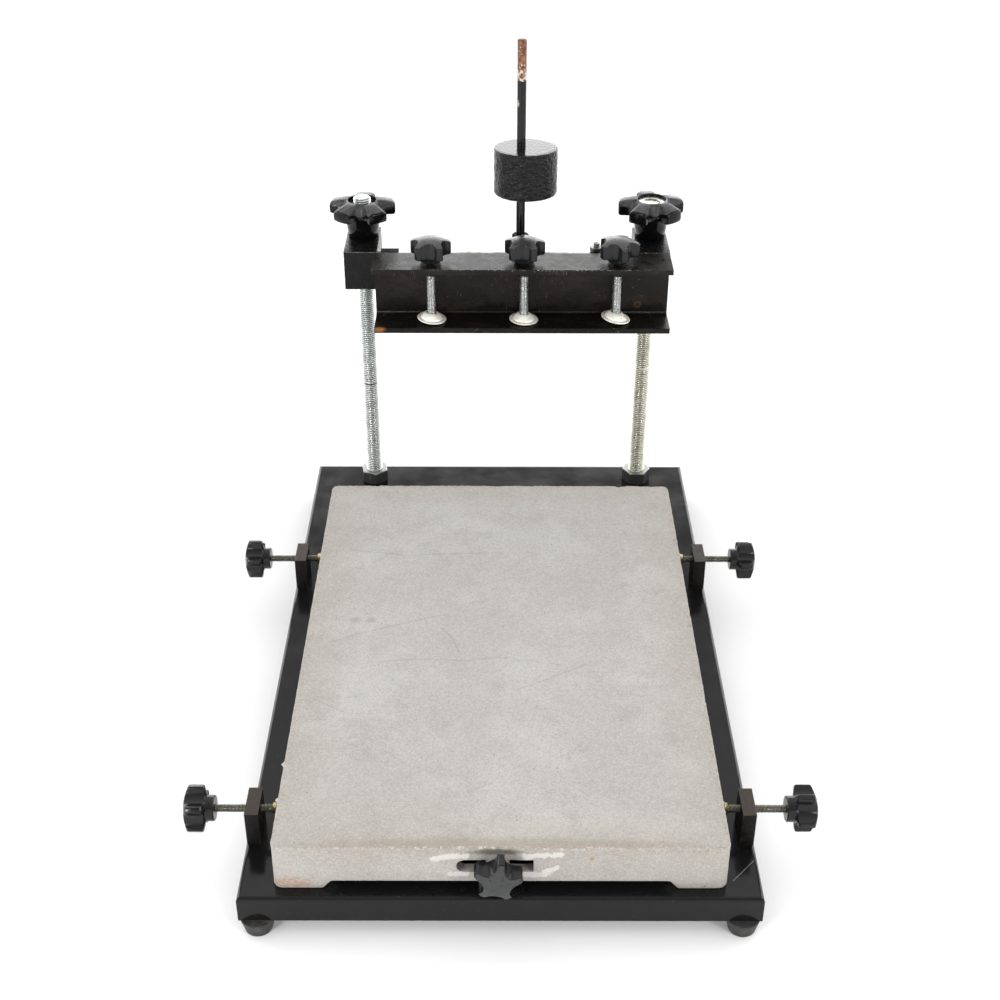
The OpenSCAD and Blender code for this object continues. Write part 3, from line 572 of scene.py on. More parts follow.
def table_casting():
    """Rows carried round the outline: out over the ceiling, down the inner wall, over the lip, whose
    height follows the relief, up the outer wall, round the chipped edge and in over the top."""
    low, high = extent("platen")
    centre, half = ((low + high) / 2)[:2], ((high - low) / 2)[:2]
    core, aim = table_outline(half)
    shrink = half - TABLE_UPRIGHT_R
    knee = shrink / 2
    inner_core = np.sign(core) * np.where(np.abs(core) < knee, np.abs(core),
                                          knee + (np.abs(core) - knee) * (knee - TABLE_WALL) / knee)
    middle = np.clip(core[:, 1], -half[1] + half[0], half[1] - half[0])
    spine = np.stack([np.zeros(len(core)), middle], axis=-1)
    along = np.where(np.abs(aim[:, 1]) > 0.99, np.abs(core[:, 0]), np.where(np.abs(aim[:, 0]) > 0.99,
                     np.abs(core[:, 1]), 1e3))
    reach = np.where(np.abs(aim[:, 1]) > 0.99, half[0], half[1]) - TABLE_PAD
    slope = np.clip((reach - along) / TABLE_SLOPE, 0, 1)
    bottom = low[2] + TABLE_RELIEF * slope * slope * (3 - 2 * slope)
    outer = core + TABLE_UPRIGHT_R * aim
    inner = inner_core + TABLE_UPRIGHT_R * aim
    slot = np.linspace(*TABLE_SLOT_Z, SLOT_LEVELS)
    levels = np.concatenate([LEVELS_UNDER_SLOT, slot, LEVELS_OVER_SLOT])
    chips = np.clip(ripple(5, outer, 11) - 0.75, 0, None) + np.clip(ripple(6, outer, 30) - 0.9, 0, None)
    edge = np.clip(1.1 + 0.3 * ripple(4, outer, 20) + 0.35 * ripple(8, outer, 4.5), 0.35, None) + 1.4 * chips
    spikes = np.exp(-((outer[:, 1:] + centre[1] - np.array(TABLE_BURRS)) / 1.6) ** 2).sum(axis=1)
    burr = 2.4 * spikes * (aim[:, 0] < -0.99)
    rows = []

    def row(flat, height):
        rows.append(np.column_stack([flat + centre, np.broadcast_to(height, len(flat))]))

    row(inner - 6 * aim, high[2] - TABLE_TOP)
    row(inner - 1.5 * aim, high[2] - TABLE_TOP)
    row(inner, high[2] - TABLE_TOP - 1.5)
    first_inner = len(rows)
    for height in levels[::-1][1:]:
        row(inner, height)
    row(inner, bottom + 1.0)
    row(inner + 1.0 * aim, bottom)
    row(outer - 1.2 * aim, bottom)
    row(outer - 0.3 * aim, bottom + 0.4)
    row(outer, bottom + 1.2)
    first_outer = len(rows)
    for height in levels[:-1]:
        dent = 0.22 + 0.16 * ripple(7, np.column_stack([outer, np.full(len(outer), height)]), 22)
        row(outer - np.clip(dent, 0, None)[:, None] * aim, height)
    for lean in np.radians([0, 25, 50, 72, 90]):
        inset = 0.2 + edge * (1 - math.cos(lean)) - burr * math.sin(2 * lean)
        row(outer - inset[:, None] * aim, high[2] - edge * (1 - math.sin(lean)))
    rim = rows[-1][:, :2] - centre
    for share in (0.01, 0.03, 0.06):
        row(rim + (spine - rim) * share, high[2] - 0.08)
    points = np.array(rows)
    outer_rows = first_outer + np.arange(2, 2 + SLOT_LEVELS)
    inner_rows = first_inner + len(levels) - 2 - np.arange(2, 2 + SLOT_LEVELS)
    return points, outer_rows, inner_rows


def open_slot(points, outer_rows, inner_rows):
    """Rounds the slot's left end by moving the columns near it, leaves out the wall's faces inside the
    slot, and joins its outer and inner outline. Returns the points still in use and the faces."""
    radius = (TABLE_SLOT_Z[1] - TABLE_SLOT_Z[0]) / 2
    middle = sum(TABLE_SLOT_Z) / 2
    front = points[..., 1] < extent("platen")[0][1] + TABLE_WALL + 1
    off = np.abs(points[..., 2] - middle)
    bend = np.where(off <= radius, radius - np.sqrt(np.clip(radius ** 2 - off ** 2, 0, None)),
                    np.clip(2 * radius - off, 0, None))
    tent = np.clip(1 - np.abs(points[..., 0] - TABLE_SLOT_X[0]) / SLOT_BEND, 0, None)
    columns = points.shape[1]
    line = points[outer_rows[0], :, 0]
    on_front = np.flatnonzero(front[outer_rows[0]])
    first = on_front[np.argmin(np.abs(line[on_front] - TABLE_SLOT_X[0]))]
    last = on_front[np.argmin(np.abs(line[on_front] - TABLE_SLOT_X[1]))]
    points[..., 0] += np.where(front, bend * tent, 0)
    index = np.arange(points[..., 0].size).reshape(points.shape[:2])
    quads = np.stack([index[:-1], np.roll(index[:-1], -1, axis=1), np.roll(index[1:], -1, axis=1), index[1:]],
                     axis=-1)
    keep = np.ones(quads.shape[:2], bool)
    keep[outer_rows[0]:outer_rows[-1], first:last] = False
    keep[inner_rows[-1]:inner_rows[0], first:last] = False

    def loop(rows):
        return np.concatenate([index[rows[0], first:last], index[rows[:-1], last],
                               index[rows[-1], last:first:-1], index[rows[::-1][:-1], first]])

    out, into = loop(outer_rows), loop(inner_rows)
    rim = np.stack([out, np.roll(out, -1), np.roll(into, -1), into], axis=-1)
    quads = np.concatenate([quads[keep], rim])
    used = np.unique(quads)
    renumbered = np.zeros(index.size, int)
    renumbered[used] = np.arange(len(used))
    caps = [renumbered[index[0][::-1]].tolist(), renumbered[index[-1]].tolist()]
    return points.reshape(-1, 3)[used], renumbered[quads].tolist() + caps


def near(place, centre, reach, ragged):
    """1 at a centre given in mm, 0 beyond its reach along X, Y and Z, with an edge broken up by noise."""
    shifted = vector("SUBTRACT", place, [c * MM for c in centre])
    far = vector("LENGTH", vector("MULTIPLY", shifted, [1 / (r * MM) for r in reach]), result="Value")
    broken = sums("ADD", far, times(cloud(place, 6, 6, 0.7), ragged))
    return between(broken, 0.35 + 0.5 * ragged, 1.0 + 0.5 * ragged, 1.0, 0.0)


def rough_casting():
    """Pale grey cast metal with clouds, grain, pits, drawn scratches, spots, crumbled edges and scuffs."""
    material, place = new_finish("rough_casting")
    low, high = extent("platen")
    clouds = cloud(place, 70, 7, 0.62, 0.4)
    grain = cloud(place, 1.4, 5, 0.7)
    colour = tint(between(clouds, 0.40, 0.66), CAST_GREY, CAST_PALE)
    stains = between(cloud(place, 32, 7, 0.75), 0.48, 0.72, 0.0, 0.34)
    colour = tint(stains, colour, CAST_DARK)
    gap = from_edges(place, low * MM, high * MM)
    colour = tint(between(gap, 0.0, 45 * MM, 0.22, 0.0), colour, CAST_BROWN)
    colour = tint(between(grain, 0.52, 0.63, 0.0, 0.5), colour, CAST_DARK)
    colour = tint(between(grain, 0.37, 0.48, 0.34, 0.0), colour, CAST_SCUFF)
    pits = between(grains(place, 16), 0.020, 0.045, 0.8, 0.0)
    colour = tint(pits, colour, CAST_PIT)
    for path in TABLE_LINES:
        line = drawn_line(place, [(x, y, high[2]) for x, y in path], 1.0)
        colour = tint(line, colour, CAST_SCRATCH, 0.26)
    for x, y, reach, stain in TABLE_SPOTS:
        spot = near(place, (x, y, high[2]), (reach, reach, 6), 0.4)
        colour = tint(spot, colour, stain, 0.32)
    crumbs = between(cloud(place, 2.4, 5, 0.75), 0.52, 0.62)
    inside = times(between(gap, 1.5 * MM, 7 * MM, 0.7, 0.0), crumbs)
    colour = tint(inside, colour, CAST_BROWN)
    colour = tint(worn_edges(place, low * MM, high * MM, 1.0), colour, CAST_SCUFF, 0.7)
    brown = near(place, (0, low[1] + 4, high[2]), (165, 9, 3), 1.0)
    colour = tint(brown, colour, CAST_BROWN, 0.40)
    flakes = times(near(place, (0, low[1], high[2]), (165, 3.4, 3), 0.6), crumbs)
    colour = tint(flakes, colour, CAST_FLAKE, 0.7)
    for path in SLOT_SCUFFS:
        scuff = drawn_line(place, [(x, low[1], z) for x, z in path], 3.4)
        colour = tint(scuff, colour, CAST_FLAKE, 0.5)
    smudge = near(place, (-3, low[1], 70), (24, 6, 4), 0.9)
    colour = tint(smudge, colour, CAST_PIT, 0.75)
    rust = near(place, (-148, low[1], 40), (22, 5, 8), 1.1)
    rust = times(rust, between(cloud(place, 2.2, 4, 0.7), 0.42, 0.60))
    rust = sums("MAXIMUM", rust, near(place, (63.5, low[1], 63.6), (2.5, 4, 2.5), 0.4))
    colour = tint(rust, colour, CAST_RUST, 0.75)
    heights = sums("ADD", cloud(place, 1.6, 5, 0.65), times(cloud(place, 9, 4), 1.5))
    return coat(material, colour, between(clouds, 0.35, 0.65, 0.62, 0.80), sums("SUBTRACT", heights, pits),
                0.42, shine=CAST_SHINE)


shape, outer_rows, inner_rows = table_casting()
shape, faces = open_slot(shape, outer_rows, inner_rows)
stand_in("platen", "casting", shape, rough_casting(), 50, faces=faces)

# Side adjusters: four zinc plated M6 studs that run in the lugs, each with a turned brass tip against
# the table and a star knob, moulded in satin charcoal plastic, pressed on its outer end.
STUD_PITCH = 1.0
STUD_SIDES = 20
STUD_FIT = 0.05
STUD_PALE = (0.36, 0.35, 0.29, 1)
STUD_DULL = (0.22, 0.21, 0.17, 1)
STUD_ROOT_SHADE = (0.07, 0.065, 0.05, 1)
TIP_CHAMFER = 0.6
BRASS_BRIGHT = (0.32, 0.26, 0.13, 1)
BRASS_DULL = (0.15, 0.12, 0.065, 1)
KNOB_LOBES = 5
KNOB_RIM = 17.5
KNOB_HOLLOW = 7.0
KNOB_GROOVE = 0.74
KNOB_HUB_R = 9.5
KNOB_HEAD = 15.0
KNOB_CROWN_R = 40.0
KNOB_COLUMNS = 200
KNOB_TURNS = {"left_front": 20, "right_front": 55, "left_rear": 5, "right_rear": 40}
KNOB_CHARCOAL = (0.009, 0.0092, 0.010, 1)
KNOB_SCUFF = (0.030, 0.031, 0.032, 1)
KNOB_SHINE = (0.26, 0.50)
KNOB_ROUGH = (0.14, 0.38)


def star_outline(angle, rim, hollow, share, softness):
    """Radius of a disc with round hollows between its lobes, at angles counted from a lobe: the nearer
    of the rim and the hollows' circles, smoothed over a softness in radians."""
    core, half = rim - hollow, share * np.pi / KNOB_LOBES
    bite = (core ** 2 + rim ** 2 - 2 * core * rim * math.cos(half)) / (2 * (rim * math.cos(half) - core))
    far = core + bite
    off = angle % (2 * np.pi / KNOB_LOBES) - np.pi / KNOB_LOBES
    dip = far * np.cos(off) - np.sqrt(np.clip(bite ** 2 - (far * np.sin(off)) ** 2, 0, None))
    radius = np.where(np.abs(off) < half, np.minimum(dip, rim), rim)
    order = np.fft.rfftfreq(len(radius), 1 / len(radius))
    return np.fft.irfft(np.fft.rfft(radius) * np.exp(-0.5 * (order * softness) ** 2), len(radius))


def small_knob(hub, rim, bore, seat, turn):
    """Star knob along +Z: up out of its bore, round the hub, under the lobes, up their sides and over
    a crown that is part of a sphere. Returns points and, per point, whether it lies on the crown."""
    angle = np.linspace(0, 2 * np.pi, KNOB_COLUMNS, endpoint=False) - math.radians(turn)
    star = star_outline(angle, rim, KNOB_HOLLOW, KNOB_GROOVE, 0.025)
    top = hub + KNOB_HEAD

    def crown(radius):
        return top - KNOB_CROWN_R + np.sqrt(KNOB_CROWN_R ** 2 - radius ** 2)

    lobe = star - KNOB_HUB_R
    rows = [(bore, seat), (bore, 0.4), (bore + 0.4, 0), (KNOB_HUB_R - 0.6, 0), (KNOB_HUB_R, 0.6),
            (KNOB_HUB_R, hub - 2.4), (KNOB_HUB_R + 0.12 * lobe, hub - 1.7),
            (KNOB_HUB_R + 0.6 * lobe, hub - 1.2), (KNOB_HUB_R + 0.9 * lobe, hub - 0.7),
            (KNOB_HUB_R + 0.98 * lobe, hub + 0.1), (star, hub + 1.0), (star, crown(star) - 0.8),
            (star - 0.15, crown(star) - 0.25), (star - 0.5, crown(star - 0.5) - 0.02)]
    sides = len(rows)
    rows += [((star - 1.0) * share, crown((star - 1.0) * share))
             for share in (1.0, 0.95, 0.88, 0.75, 0.6, 0.4, 0.2, 0.04)]
    marks = (np.arange(len(rows)) >= sides)[:, None] * np.ones(KNOB_COLUMNS)
    return turned(rows, KNOB_COLUMNS), marks


def outwards(points, corner, kind):
    """Turns a piece that was made along +Z to point away from the table, with its foot on the inner
    end of its CAD node and its axis on the corner's screw."""
    side = CORNERS[corner][0]
    foot = side * np.abs(extent(corner + kind)[:, 0]).min()
    axis = extent(corner + "_screw").mean(axis=0)
    x, y, z = points[..., 0], points[..., 1], points[..., 2]
    return np.stack([foot + side * z, axis[1] + y, axis[2] - side * x], axis=-1)


def moulded_plastic():
    """Charcoal with a fine moulded grain: the sides glossy and dark, the crown handled to a satin grey."""
    material, place = new_finish("moulded_plastic")
    marks = marked(material)
    patchy = between(cloud(place, 5, 5, 0.7), 0.30, 0.65, 0.4, 1.0)
    dust = between(cloud(place, 1.1, 4, 0.7), 0.60, 0.78, 0.0, 0.4)
    worn = times(marks, patchy)
    colour = tint(sums("MAXIMUM", worn, dust), KNOB_CHARCOAL, KNOB_SCUFF)
    return coat(material, colour, between(worn, 0.0, 1.0, *KNOB_ROUGH), cloud(place, 0.6, 3), 0.05,
                shine=between(marks, 0.0, 1.0, *KNOB_SHINE))


def dull_brass():
    """Turned brass gone olive in clouds."""
    material, place = new_finish("dull_brass")
    tarnish = between(cloud(place, 3, 5, 0.65), 0.40, 0.65)
    return coat(material, tint(tarnish, BRASS_BRIGHT, BRASS_DULL), between(tarnish, 0.0, 1.0, 0.28, 0.50),
                cloud(place, 0.8, 3), 0.04, metal=1.0)


stud_zinc = plated("stud_zinc", STUD_PALE, STUD_DULL, STUD_ROOT_SHADE)
charcoal = moulded_plastic()
brass = dull_brass()
for corner in CORNERS:
    tip_l, tip_r, _ = np.ptp(extent(corner + "_tip"), axis=0) * [1, 0.5, 0.5]
    stud_l, stud_r, _ = np.ptp(extent(corner + "_screw"), axis=0) * [1, 0.5, 0.5]
    hub = np.ptp(extent(corner + "_knob")[:, 0]) - KNOB_HEAD
    tip = turned([(tip_r - TIP_CHAMFER, 0), (tip_r, TIP_CHAMFER), (tip_r, 1.6), (tip_r - 1.2, 2.6),
                  (tip_r - 1.8, tip_l - 0.4), (tip_r - 2.2, tip_l), (stud_r + STUD_FIT, tip_l),
                  (stud_r + STUD_FIT, tip_l / 2)], 40)
    stand_in(corner + "_tip", "brass", outwards(tip, corner, "_tip"), brass)
    stud, wave = threaded(2 * stud_r, STUD_PITCH, 0, stud_l, STUD_SIDES, 0.5)
    stand_in(corner + "_screw", "stud", outwards(stud, corner, "_screw"), stud_zinc, 80, wave)
    knob, marks = small_knob(hub, KNOB_RIM, stud_r + STUD_FIT, hub + KNOB_HEAD / 2, KNOB_TURNS[corner])
    stand_in(corner + "_knob", "star", outwards(knob, corner, "_knob"), charcoal, marks=marks)

# Front adjuster: a zinc plated M8 stud with a star knob in front of the table's slotted wall, a plain
# washer on each side of the wall and a lock nut behind it.
FEED_PITCH = 1.25
FRONT_KNOB_TURN = 82


def forwards(points, node):
    """Turns a piece that was made along +Z to point to the front, with its foot on the rear end of its
    CAD node and its axis on the front screw."""
    foot = extent(node)[1][1]
    axis = extent("front_screw").mean(axis=0)
    return np.stack([axis[0] + points[..., 0], foot - points[..., 2], axis[2] + points[..., 1]], axis=-1)


stud_r, stud_l, _ = np.ptp(extent("front_screw"), axis=0) * [0.5, 1, 0.5]
stud, wave = threaded(2 * stud_r, FEED_PITCH, 0, stud_l, STUD_SIDES, 0.5)
stand_in("front_screw", "stud", forwards(stud, "front_screw"), stud_zinc, 80, wave)
hub = np.ptp(extent("front_knob")[:, 1]) - KNOB_HEAD
knob, marks = small_knob(hub, KNOB_RIM, stud_r + STUD_FIT, hub + KNOB_HEAD / 2, FRONT_KNOB_TURN)
stand_in("front_knob", "star", forwards(knob, "front_knob"), charcoal, marks=marks)
dress(zinc, "feed_washers", "feed_nut")

# Slide blocks: two sawn steel blocks, bored for the threaded bushes and for the hinge shaft and brushed
# with gloss black paint that has worn to bare metal along their upper edges.
BLOCK_BLACK = (0.004, 0.004, 0.004, 1)
BLOCK_BARE = (0.42, 0.41, 0.38, 1)
BLOCK_ROUNDING = 0.6


def block_paint(node, shine=BLACK_SHINE, rough=(0.16, 0.34)):
    """Black with brush marks along Z and bare metal on the box's edges; gloss unless given otherwise."""
    material, place = new_finish("block_paint_" + node)
    stretched = put("ShaderNodeMapping", {0: place, "Scale": (1, 1, 0.25)}).outputs[0]
    dust = between(cloud(stretched, 5, 6, 0.7), 0.52, 0.78, 0.0, 0.2)
    bare = worn_edges(place, *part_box(node), 0.45)
    colour = tint(dust, BLOCK_BLACK, ENAMEL_DUST)
    return coat(material, tint(bare, colour, BLOCK_BARE), between(cloud(stretched, 4, 5), 0.3, 0.7, *rough),
                cloud(stretched, 2.2, 4), 0.18, shine=shine)


for side in ("left", "right"):
    round_off(side + "_slide_block", BLOCK_ROUNDING)
    dress(block_paint(side + "_slide_block"), side + "_slide_block")

# Lift knobs: large five-armed knobs in glossy black plastic, moulded round a zinc plated threaded bush.
# The bush turns in the block, and its collar lies in a recess at the top, round the column's end.
LIFT_RIM = 30.0
LIFT_HOLLOW = 11.0
LIFT_GROOVE = 0.47
LIFT_HUB = 20.0
LIFT_HUB_R = (13.6, 16.0)
LIFT_TOPS = {"left": 33.4, "right": 35.0}
LIFT_ARM_DROP = 3.2
LIFT_SCOOP_DROP = 10.5
LIFT_BULGE = 1.6
LIFT_RECESS_R = 12.7
LIFT_RECESSES = {"left": 5.2, "right": 2.6}
LIFT_BUSH_R = 10.0
LIFT_COLLAR_R = 12.0
LIFT_COLLAR_H = 5.0
LIFT_LIP = (11.0, 2.0)
LIFT_BORE_R = 8.05
LIFT_FIT = 0.05
LIFT_TURNS = {"left": 16, "right": 24}
LIFT_COLUMNS = 240
GLOSS_BLACK = (0.0035, 0.0035, 0.004, 1)
GLOSS_DUST = (0.03, 0.03, 0.031, 1)
GLOSS_WORN_AND_SHEEN = (0.060, 0.060, 0.061, 1)


def lift_knob(top, recess, turn):
    """Ring round the column: out under the hub, up its flare, under the arms, up their sides, in over a
    top that bulges up to the recess from the arms' edges and the deeper scoops between them, and down
    the recess and the bore. Returns points and, per point, whether it lies on the top."""
    angle = np.linspace(0, 2 * np.pi, LIFT_COLUMNS, endpoint=False) - math.radians(turn)
    star = star_outline(angle, LIFT_RIM, LIFT_HOLLOW, LIFT_GROOVE, 0.02)
    soft = star_outline(angle, LIFT_RIM, LIFT_HOLLOW, LIFT_GROOVE, 0.09)
    scoop = np.clip((soft.max() - soft) / np.ptp(soft), 0, 1)
    edge = top - LIFT_ARM_DROP - (LIFT_SCOOP_DROP - LIFT_ARM_DROP) * scoop
    lip, floor = LIFT_RECESS_R + 0.8, top - recess
    foot, neck = LIFT_HUB_R
    rows = [(LIFT_BUSH_R + LIFT_FIT, 0), (foot - 0.5, 0), (foot, 0.5), ((foot + neck) / 2, LIFT_HUB / 2),
            (neck, LIFT_HUB - 0.8), (neck + 0.6, LIFT_HUB - 0.2), ((neck + star) / 2, LIFT_HUB),
            (star - 1.6, LIFT_HUB), (star - 0.6, LIFT_HUB + 0.4), (star - 0.1, LIFT_HUB + 1.4),
            (star, LIFT_HUB + 3), (star, edge - 1.8), (star - 0.25, edge - 0.9), (star - 0.8, edge - 0.25)]
    inner = star - 1.7
    marks = np.zeros(len(rows) + 14)
    marks[len(rows):len(rows) + 9] = 1
    rows += [(lip + (inner - lip) * share, top - (top - edge - 0.1) * share ** LIFT_BULGE)
             for share in (1.0, 0.92, 0.8, 0.65, 0.5, 0.35, 0.18, 0.0)]
    rows += [(LIFT_RECESS_R + 0.2, top - 0.15), (LIFT_RECESS_R, top - 0.6), (LIFT_RECESS_R, floor),
             (LIFT_COLLAR_R + LIFT_FIT, floor), (LIFT_COLLAR_R + LIFT_FIT, floor - LIFT_COLLAR_H),
             (LIFT_BUSH_R + LIFT_FIT, floor - LIFT_COLLAR_H)]
    return turned(rows, LIFT_COLUMNS), marks[:, None] * np.ones(LIFT_COLUMNS)


def lift_bush(low, floor):
    """Ring round the column: the lip under the block, the bush, the collar up to the recess's floor."""
    lip_r, lip_h = LIFT_LIP
    under = floor - LIFT_COLLAR_H + LIFT_FIT
    return turned([(LIFT_BORE_R, low + 0.3), (LIFT_BORE_R + 0.3, low), (lip_r - 0.4, low), (lip_r, low + 0.4),
                   (lip_r, low + lip_h), (LIFT_BUSH_R, low + lip_h), (LIFT_BUSH_R, under),
                   (LIFT_COLLAR_R, under), (LIFT_COLLAR_R, floor - 0.4), (LIFT_COLLAR_R - 0.4, floor),
                   (LIFT_BORE_R + 0.6, floor), (LIFT_BORE_R, floor - 0.6)], 64)


def gloss_plastic():
    """Glossy black with faint dust and a slight sink in the moulding; the top is worn to satin, and its lighter
    grey is painted sheen as well as wear.
    """
    material, place = new_finish("gloss_plastic")
    marks = marked(material)
    dust = between(cloud(place, 3, 5, 0.7), 0.55, 0.80, 0.0, 0.4)
    colour = tint(dust, GLOSS_BLACK, GLOSS_DUST)
    worn = times(marks, between(cloud(place, 4, 5, 0.7), 0.30, 0.60, 0.4, 1.0))
    smooth = between(cloud(place, 6, 4), 0.3, 0.7, 0.08, 0.18)
    rough = sums("ADD", smooth, times(worn, 0.25))
    # The top's lighter grey is painted sheen as well as wear.
    return coat(material, tint(worn, colour, GLOSS_WORN_AND_SHEEN), rough, cloud(place, 7, 2), 0.10, shine=BLACK_SHINE)


gloss = gloss_plastic()
for side in ("left", "right"):
    knob_low, _ = extent(side + "_lift_knob")
    nut_low, _ = extent(side + "_lift_nut")
    centre = axis_of(side + "_lift_nut")
    shape, marks = lift_knob(LIFT_TOPS[side], LIFT_RECESSES[side], LIFT_TURNS[side])
    shape += centre + knob_low * [0, 0, 1]
    stand_in(side + "_lift_knob", "star", shape, gloss, 40, marks, ring=True)
    shape = lift_bush(nut_low[2], knob_low[2] + LIFT_TOPS[side] - LIFT_RECESSES[side]) + centre
    stand_in(side + "_lift_nut", "bush", shape, zinc, ring=True)

# Hinge: a bright drawn steel shaft held in both blocks by grub screws, three lugs on it that are welded
# to the channel's back, and an upright zinc plated stop screw with a blackened lock nut. The weight's
# set screw is blackened in the same way.
SHAFT_BRIGHT = (0.66, 0.66, 0.65, 1)
SHAFT_DULL = (0.36, 0.35, 0.33, 1)
SHAFT_ROOT_SHADE = (0.2, 0.2, 0.2, 1)
STOP_PITCH = 1.0
STOP_SHORT = 3.6
MATT = {"shine": 0.05, "rough": (0.50, 0.65)}

shaft_steel = plated("shaft_steel", SHAFT_BRIGHT, SHAFT_DULL, SHAFT_ROOT_SHADE, (0.16, 0.34))
dress(shaft_steel, "hinge_shaft")
for node in ("left_hinge_lug", "right_hinge_lug", "rod_lug"):
    dress(block_paint(node, **MATT), node)
# These take the blackened finish, with its painted highlight below their tops.
for node in ("shaft_grub_screws", "stop_nut", "weight_screw"):
    dress(blackened(node, extent(node)[1][2], 0.6), node)
low, high = extent("stop_screw")
shape, wave = threaded(high[0] - low[0], STOP_PITCH, low[2], high[2] - STOP_SHORT, STUD_SIDES, 0.5)
stand_in("stop_screw", "stud", shape + axis_of("stop_screw"), stud_zinc, 80, wave)

# Clamp channel: a length of rolled steel channel that opens to the front, sawn off at both ends. Its
# thin black paint is scuffed to rust along the flanges. Three nuts are welded under its top flange.
CHANNEL_BLACK = (0.0045, 0.004, 0.0035, 1)
CHANNEL_SCALE = (0.015, 0.0115, 0.0085, 1)
CHANNEL_RUST = (0.11, 0.055, 0.025, 1)
CHANNEL_BARE = (0.30, 0.25, 0.19, 1)
CHANNEL_FLAKE = (0.62, 0.60, 0.55, 1)
CHANNEL_STAIN = (0.28, 0.11, 0.03, 1)
CHANNEL_ROUNDING = 0.6
CHANNEL_STAIN_AT = (-108.0, 186.0, 241.0)
CHANNEL_DENT_AT = (124.0, 218.2, 250.7)


def channel_paint():
    """Brown black satin paint with mill scale, rust specks, scratches, bare edges, a dent and a stain."""
    material, place = new_finish("channel_paint")
    stretched = put("ShaderNodeMapping", {0: place, "Scale": (0.35, 1, 1)}).outputs[0]
    scale = between(cloud(stretched, 16, 7, 0.7), 0.45, 0.72)
    specks = between(grains(place, 5.0), 0.06, 0.13, 1.0, 0.0)
    spread = between(cloud(place, 30, 4), 0.42, 0.62)
    thin = put("ShaderNodeMapping", {0: place, "Rotation": (0, 0.7, 0.4), "Scale": (1, 1, 0.1)})
    line = sums("ABSOLUTE", sums("SUBTRACT", cloud(thin.outputs[0], 14, 2), 0.5))
    scratch = times(between(line, 0.0, 0.004, 0.7, 0.0), between(cloud(place, 18, 4), 0.58, 0.68))
    colour = tint(scale, CHANNEL_BLACK, CHANNEL_SCALE)
    colour = tint(times(specks, spread), colour, CHANNEL_RUST)
    colour = tint(scratch, colour, CHANNEL_BARE)
    glints = between(grains(place, 2.0), 0.08, 0.16, 0.5, 0.0)
    colour = tint(times(glints, spread), colour, CHANNEL_RUST)
    bare = worn_edges(place, *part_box("clamp_channel"), 0.8)
    flakes = between(cloud(place, 3.0, 5, 0.75), 0.50, 0.62)
    worn = tint(flakes, CHANNEL_RUST, CHANNEL_BARE)
    colour = tint(times(bare, flakes), colour, worn)
    low, high = extent("clamp_channel")
    edge = near(place, ((low[0] + high[0]) / 2, low[1], high[2]), (140, 2.4, 2.4), 0.6)
    chips = times(edge, between(cloud(place, 1.5, 4, 0.7), 0.57, 0.66, 0.0, 0.7))
    colour = tint(chips, colour, CHANNEL_FLAKE)
    dent = sums("SUBTRACT", near(place, CHANNEL_DENT_AT, (4.2, 3, 4.2), 0.2),
                near(place, CHANNEL_DENT_AT, (2.6, 3, 2.6), 0.2))
    colour = tint(dent, colour, CHANNEL_RUST, 0.6)
    stain = near(place, CHANNEL_STAIN_AT, (7, 4, 4), 0.8)
    colour = tint(stain, colour, CHANNEL_STAIN, 0.8)
    rough = between(cloud(place, 7, 6, 0.65), 0.3, 0.7, 0.24, 0.40)
    return coat(material, colour, rough, cloud(place, 1.8, 5, 0.6), 0.10, shine=BLACK_SHINE)


round_off("clamp_channel", CHANNEL_ROUNDING)
dress(channel_paint(), "clamp_channel", "clamp_nuts")

# Clamp screws: three zinc plated M8 screws with star knobs. Each carries a swivel pad, stamped from
# nickel plated steel, that tilts a little on the screw's ball end.
PAD_TILTS = {"left": 6.0, "middle": 3.0, "right": 10.0}
CLAMP_TURNS = {"left": 14, "middle": 12, "right": 68}
CLAMP_RIM = 18.3
PAD_PALE = (0.95, 0.93, 0.85, 1)
PAD_DULL = (0.76, 0.73, 0.61, 1)
PAD_ROOT_SHADE = (0.18, 0.16, 0.11, 1)


def pad_dish(radius, socket, floor):
    """Dished washer: a rolled rim, a flat ring, a step and a dome whose socket goes down to a floor."""
    return [(0.3, 0.0), (radius - 0.9, 0.0), (radius - 0.2, 0.3), (radius, 0.8), (radius - 0.3, 1.3),
            (radius - 1.2, 1.5), (radius - 2.6, 1.45), (radius - 3.1, 1.7), (radius - 3.5, 2.7),
            (radius - 4.2, 3.4), (radius - 5.4, 4.5), (socket + 2.6, 5.5), (socket + 1.6, 6.0),
            (socket + 0.8, 6.3), (socket + 0.4, 6.3), (socket + 0.4, floor), (0.3, floor)]


nickel = plated("nickel_pad", PAD_PALE, PAD_DULL, PAD_ROOT_SHADE, (0.30, 0.46), 0.25)
for clamp in ("left", "middle", "right"):
    low, high = extent(clamp + "_clamp_screw")
    centre = axis_of(clamp + "_clamp_screw")
    screw_r = (high[0] - low[0]) / 2
    shape, wave = threaded(2 * screw_r, FEED_PITCH, low[2], high[2], STUD_SIDES, 0.5)
    stand_in(clamp + "_clamp_screw", "stud", shape + centre, zinc, 80, wave)
    knob_low, knob_high = extent(clamp + "_clamp_knob")
    hub = knob_high[2] - knob_low[2] - KNOB_HEAD
    knob, marks = small_knob(hub, CLAMP_RIM, screw_r + STUD_FIT, hub + KNOB_HEAD / 2, CLAMP_TURNS[clamp])
    knob += centre + knob_low * [0, 0, 1]
    stand_in(clamp + "_clamp_knob", "star", knob, charcoal, marks=marks)
    pad_low, pad_high = extent(clamp + "_clamp_pad")
    pad_r = (pad_high[0] - pad_low[0]) / 2
    steep = math.tan(math.radians(PAD_TILTS[clamp]))
    rise = pad_r * steep
    floor = low[2] - pad_low[2] - rise - screw_r * steep - 0.1
    pad = turned(pad_dish(pad_r, screw_r, floor), 56)
    pad[..., 2] += rise - steep * pad[..., 0]
    stand_in(clamp + "_clamp_pad", "dish", pad + centre + pad_low * [0, 0, 1], nickel)

